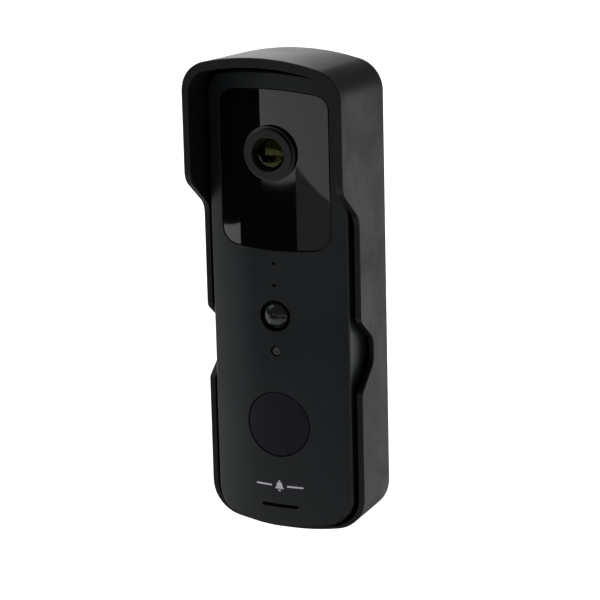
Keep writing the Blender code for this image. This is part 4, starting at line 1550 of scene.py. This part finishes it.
@dataclass
class RearFittings:
    """The battery door, the charging bung, the reset button and the case screws."""

    grip_pitch: float = 2.0 * MM
    grip_from: float = 4.0 * MM
    grips: int = 4
    flange: float = 0.8 * MM
    reset_stem_r: float = 1.0 * MM
    reset_head: float = 0.8 * MM
    screw_head: Point = (1.8 * MM, 1.2 * MM)
    screw_core_r: float = 0.65 * MM
    screw_crest_r: float = 0.9 * MM
    screw_pitch: float = 0.8 * MM

    def build_door(self) -> bpy.types.Object:
        """Build the sliding battery door with its grip grooves.

        Returns:
            The door's piece.
        """
        node = Place.of("battery_door")
        soft = 0.3 * MM
        shape = Shape(node.high.y, Facing.WALL)
        plan = Outline.about(node.high.x - soft, node.size.z / 2 - soft, 0.6 * MM, node.mid.z)
        face = shape.ring(plan.points())
        low = shape.sweep(face, [*round_over(soft), (soft, node.size.y)])
        tops = [face]
        for k in range(self.grips):
            z = node.low.z + self.grip_from + self.grip_pitch * k
            tops.append(shape.ring(Outline.about(5.1 * MM, 0.5 * MM, 0.48 * MM, z, 4).points()))
            groove = in_mm((0.1, 0.1), (0.12, 0.3), (0.25, 0.4))
            shape.fill(shape.sweep(tops[-1], groove, hole=True))
        shape.fill(*tops)
        shape.fill(low)
        return shape.piece("battery_door_panel", Body.DOOR, SHELL, "shell", ["battery_door"])

    def build_bung(self) -> bpy.types.Object:
        """Build the rubber bung: a soft-edged flange, a ribbed plug and a pull lip.

        Returns:
            The bung's piece.
        """
        node = Place.of("charging_port_bung")
        soft, half_w, half_h = 0.25 * MM, node.size.x / 2, node.size.y / 2
        shape = Shape()
        face = shape.ring(Outline.about(half_w - soft, half_h - soft, 0.9 * MM).points())
        low = shape.sweep(face, [*round_over(soft), (soft, self.flange)])
        grip = shape.ring(Outline.about(3.2 * MM, 0.55 * MM, 0.5 * MM).points())
        shape.fill(face, grip)
        shape.fill(shape.sweep(grip, in_mm((0.1, 0.1), (0.2, 0.35)), hole=True))
        plug = shape.ring(Outline.about(3.8 * MM, 0.9 * MM, 0.5 * MM).points(), self.flange)
        shape.fill(low, plug)
        length = node.size.z - self.flange
        ribs = [(0.0, 0.3), (0.14, 0.42), (0.14, 0.52), (0.0, 0.64), (0.0, 0.9), (-0.3, 1.0)]
        shape.fill(shape.sweep(plug, [(out * MM, length * share) for out, share in ribs]))
        upright = Matrix.Rotation(math.pi / 2, 3, "X")
        bmesh.ops.rotate(shape.bm, verts=shape.bm.verts, matrix=upright)
        shape.shift(y=node.mid.y, z=node.low.z)
        stands_for = ["charging_port_bung"]
        return shape.piece("charging_bung_skin", Body.BUNG, RUBBER, "rubber", stands_for)

    def build_reset(self) -> bpy.types.Object:
        """Turn the reset button with its dished end.

        Returns:
            The reset button's piece.
        """
        node = Place.of("reset_button")
        radius, stem, shoulder = node.size.x / 2, self.reset_stem_r, node.low.y + self.reset_head
        corners = [
            (0.0, node.high.y - 0.12 * MM, 0.0),
            (radius * 0.6, node.high.y, 1.2 * MM),
            (radius, node.high.y, 0.15 * MM),
            (radius, shoulder, 0.1 * MM),
            (stem, shoulder, 0.1 * MM),
            (stem, node.low.y, 0.15 * MM),
            (0.0, node.low.y, 0.0),
        ]
        shape = Shape()
        shape.turn(rounded_path(corners, 3), 40)
        shape.shift(z=node.mid.z)
        return shape.piece("reset_button_cap", Body.RESET, WHITE, "white_part", ["reset_button"])

    def build_screw(self, name: str) -> bpy.types.Object:
        """Build one case screw: a cross-recessed pan head on a ridged shank.

        Args:
            name: The frame node that it stands for.

        Returns:
            The screw's piece.
        """
        node = Place.of(name)
        head_r, head = self.screw_head
        core_r, crest_r = self.screw_core_r, self.screw_crest_r
        soft, length = 0.45 * MM, node.size.y
        start = head_r - soft
        shape = Shape(node.high.y, Facing.WALL)
        rim = shape.ring(circle(start, 0.0, 0.0, 36))
        path = [*round_over(soft), (soft, head), (core_r - start, head + 0.05 * MM)]
        depth = head + 0.4 * MM
        while depth + self.screw_pitch < length - 1.0 * MM:
            thread = ((core_r, 0.0), (crest_r, 0.3 * MM), (crest_r, 0.4 * MM), (core_r, 0.7 * MM))
            path += [(radius - start, depth + along) for radius, along in thread]
            depth += self.screw_pitch
        path.append((0.1 * MM - start, length))
        tip = shape.sweep(rim, path)
        arm, half = 0.95 * MM, 0.2 * MM
        cross = [(arm, -half), (arm, half), (half, half), (half, arm), (-half, arm), (-half, half)]
        cross += [(-x, -z) for x, z in cross]
        drive = shape.ring(cross)
        shape.fill(rim, drive)
        shape.fill(shape.sweep(drive, [(0.0, 0.5 * MM)], hole=True))
        shape.fill(tip)
        shape.shift(x=node.mid.x, z=node.mid.z)
        return shape.piece(f"{name}_steel", Body.DOORBELL, STEEL, "steel", [name], sharp=30.0)


# ---------------------------------------------------------------- inner parts

INNER_FINISHES: dict[Finish, tuple[str, ...]] = {
    BOARD: ("front_board", "ir_board", "main_board", "sensor_board"),
    STEEL: (
        "battery_spring_left",
        "battery_spring_right",
        "charging_socket",
        "motion_sensor",
        "processor_shield",
        "radio_module",
    ),
    GOLD: ("aerial", "battery_contact_left", "battery_contact_right"),
    RUBBER: ("battery_door_seal", "microphone_boot", "shell_gasket", "speaker_gasket"),
    WHITE: ("indicator_led", "reset_switch"),
    BLACK: (
        "battery_tray",
        "call_switch",
        "image_sensor",
        "light_sensor",
        "microphone",
        "sensor_housing",
        "speaker",
    ),
    CELL: ("battery_cell_left", "battery_cell_right"),
    FLEX: ("camera_flex_cable",),
    SMOKE: tuple(f"ir_light_{corner}" for corner in CORNERS),
    COATING: ("rear_lens_element",),
}


def dress_inner_parts() -> None:
    """Give every frame node that stays its own finish."""
    for finish, names in INNER_FINISHES.items():
        for name in names:
            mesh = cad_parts[name].data
            mesh.materials.clear()
            mesh.materials.append(finish.build())
            log.info("%s: frame mesh in %s", name, finish.name)


# ---------------------------------------------------------------- studio


@dataclass(frozen=True)
class SoftLight:
    """A square soft light that faces the object, its angles in degrees from the visitor's side."""

    name: str
    azimuth: float
    elevation: float
    reach: float
    size: float
    watts: float


@dataclass(frozen=True)
class Card:
    """An upright card for the gloss to mirror, from one azimuth and top height to another."""

    name: str
    azimuths: Point
    foot: float
    tops: Point
    grey: float = 0.004


FLOOR_Z = -0.16


@dataclass
class Studio:
    """The floor, the soft lights, the dark cards that the gloss mirrors, and the camera."""

    target: Vector = field(default_factory=lambda: Vector((6.565, -22.7, 0.939)) * MM)
    azimuth: float = 25.2
    elevation: float = 16.376
    roll: float = 1.41
    distance: float = 0.9
    lens_mm: float = 179.98
    sensor_mm: float = 36.0
    far_clip: float = 20.0
    floor_half: float = 6.0
    sun_from: Point = (-150.0, 68.0)
    sun_strength: float = 3.4
    sun_spread: float = 32.0
    fill: float = 0.16
    fill_colour: Colour = (0.9, 0.95, 1.0)
    backdrop: float = 1.05
    card_reach: float = 0.35
    under_half_w: float = 0.14
    under_ys: Point = (-0.1, 0.14)
    lights: tuple[SoftLight, ...] = (
        SoftLight("key_left", -56.0, 31.0, reach=1.1, size=0.5, watts=5.5),
        SoftLight("fill_right", 112.0, 42.0, reach=1.2, size=0.5, watts=1.6),
        SoftLight("rim_back", -146.0, 19.0, reach=1.3, size=0.6, watts=4.0),
    )
    cards: tuple[Card, ...] = (
        Card("front_left_card", (-46.0, -30.3), FLOOR_Z, (0.3, 0.3)),
        Card("far_left_card", (-64.0, -46.0), -0.062, (0.3, 0.3)),
        Card("front_low_card", (-30.3, -8.6), FLOOR_Z, (-0.043, -0.043)),
        Card("front_right_card", (-8.6, 14.0), FLOOR_Z, (-0.036, -0.052), grey=0.27),
        Card("far_right_card", (14.0, 62.0), FLOOR_Z, (-0.052, -0.06), grey=0.1),
    )

    @staticmethod
    def direction(azimuth: float, elevation: float) -> Vector:
        """Return the unit direction from the object at an azimuth and elevation in degrees."""
        a, e = math.radians(azimuth), math.radians(elevation)
        return Vector((math.sin(a) * math.cos(e), -math.cos(a) * math.cos(e), math.sin(e)))

    @staticmethod
    def aim(thing: bpy.types.Object, away: Vector) -> None:
        """Turn a light so that it shines against a direction."""
        thing.rotation_mode = "QUATERNION"
        thing.rotation_quaternion = (-away).to_track_quat("-Z", "Y")

    def build_camera(self) -> None:
        """Place the camera and make it the scene's own."""
        data = bpy.data.cameras.new("camera")
        data.lens = self.lens_mm
        data.sensor_width = self.sensor_mm
        data.clip_end = self.far_clip
        camera = show("camera", data)
        back = self.direction(self.azimuth, self.elevation)
        turn = (-back).to_track_quat("-Z", "Y").to_matrix().to_4x4()
        roll = Matrix.Rotation(-math.radians(self.roll), 4, "Z")
        camera.matrix_world = Matrix.Translation(self.target + back * self.distance) @ turn @ roll
        bpy.context.scene.camera = camera

    def build_lights(self) -> None:
        """Hang the soft lights, and one overhead, far off, that lights the floor evenly."""
        data = bpy.data.lights.new("overhead", "SUN")
        data.energy = self.sun_strength
        data.angle = math.radians(self.sun_spread)
        self.aim(show("overhead", data), self.direction(*self.sun_from))
        for light in self.lights:
            data = bpy.data.lights.new(light.name, "AREA")
            data.shape = "SQUARE"
            data.size = light.size
            data.energy = light.watts
            lamp = show(light.name, data)
            away = self.direction(light.azimuth, light.elevation)
            lamp.location = away * light.reach
            self.aim(lamp, away)

    @staticmethod
    def stage(
        name: str, corners: Sequence[Point3], colour: Colour, roughness: float
    ) -> bpy.types.Object:
        """Put one flat plate on the stage.

        Args:
            name: The plate's name.
            corners: Its corners in order.
            colour: Its plain colour.
            roughness: Its roughness.

        Returns:
            The plate.
        """
        bm = bmesh.new()
        bm.faces.new([bm.verts.new(corner) for corner in corners])
        mesh = bpy.data.meshes.new(name)
        bm.to_mesh(mesh)
        bm.free()
        paint = bpy.data.materials.new(name)
        paint.use_nodes = True
        shader = paint.node_tree.nodes["Principled BSDF"]
        shader.inputs["Base Color"].default_value = (*colour, 1.0)
        shader.inputs["Roughness"].default_value = roughness
        mesh.materials.append(paint)
        plate = show(name, mesh)
        return plate

    def build_floor(self) -> None:
        """Lay the plain pale floor."""
        half = self.floor_half
        plan = ((-half, -half), (half, -half), (half, half), (-half, half))
        self.stage("floor", [(x, y, FLOOR_Z) for x, y in plan], (0.9, 0.9, 0.9), 0.9)

    def build_cards(self) -> None:
        """Place the cards, which only the gloss sees, upright round the object and one below it."""
        half, (front, back) = self.under_half_w, self.under_ys
        plan = ((-half, front), (half, front), (half, back), (-half, back))
        under = [(x, y, FLOOR_Z + MM) for x, y in plan]
        plates = [(card.name, self.corners(card), card.grey) for card in self.cards]
        plates.append(("under_card", under, Card.grey))
        for name, corners, grey in plates:
            plate = self.stage(name, corners, (grey, 0.92 * grey, grey), 1.0)
            plate.visible_camera = False
            plate.visible_shadow = False
            plate.visible_diffuse = False

    def corners(self, card: Card) -> list[Point3]:
        """Return the corners of an upright card.

        Args:
            card: The card.

        Returns:
            Its corners in order.
        """
        left, right = (self.direction(azimuth, 0.0) * self.card_reach for azimuth in card.azimuths)
        ends = ((left, card.foot), (right, card.foot), (right, card.tops[1]), (left, card.tops[0]))
        return [(place.x, place.y, height) for place, height in ends]

    def build_world(self) -> None:
        """Set a white backdrop for the camera and a dim soft fill for everything else."""
        world = bpy.data.worlds.new("studio")
        world.use_nodes = True
        tree = world.node_tree
        fill = tree.nodes["Background"]
        fill.inputs["Color"].default_value = (*self.fill_colour, 1.0)
        fill.inputs["Strength"].default_value = self.fill
        white = (1.0, 1.0, 1.0, 1.0)
        backdrop = add_node(tree, "ShaderNodeBackground", Color=white, Strength=self.backdrop)
        path = add_node(tree, "ShaderNodeLightPath")
        mix = add_node(tree, "ShaderNodeMixShader")
        tree.links.new(path.outputs["Is Camera Ray"], mix.inputs["Fac"])
        tree.links.new(fill.outputs["Background"], mix.inputs[1])
        tree.links.new(backdrop.outputs["Background"], mix.inputs[2])
        tree.links.new(mix.outputs["Shader"], tree.nodes["World Output"].inputs["Surface"])
        bpy.context.scene.world = world
        bpy.context.scene.view_settings.view_transform = "Standard"

    def build(self) -> None:
        """Set the whole studio."""
        self.build_camera()
        self.build_world()
        self.build_floor()
        self.build_lights()
        self.build_cards()


def main() -> None:
    """Build the studio and every piece."""
    logging.basicConfig(level=logging.INFO, format="%(name)s: %(message)s")
    cover, front, back = RainCover(), FrontShell(), BackShell()
    camera, fittings, rear = Camera(), FaceFittings(), RearFittings()
    for step in (
        Studio().build,
        cover.build,
        front.build,
        front.build_window,
        back.build,
        camera.build_bezel,
        camera.build_barrel,
        camera.build_glass,
        camera.build_inner_element,
        fittings.build_dome,
        fittings.build_indicator,
        fittings.build_button,
        fittings.build_mark,
        rear.build_door,
        rear.build_bung,
        rear.build_reset,
    ):
        step()
    for name in SCREWS:
        rear.build_screw(name)
    dress_inner_parts()


if __name__ == "__main__":
    main()
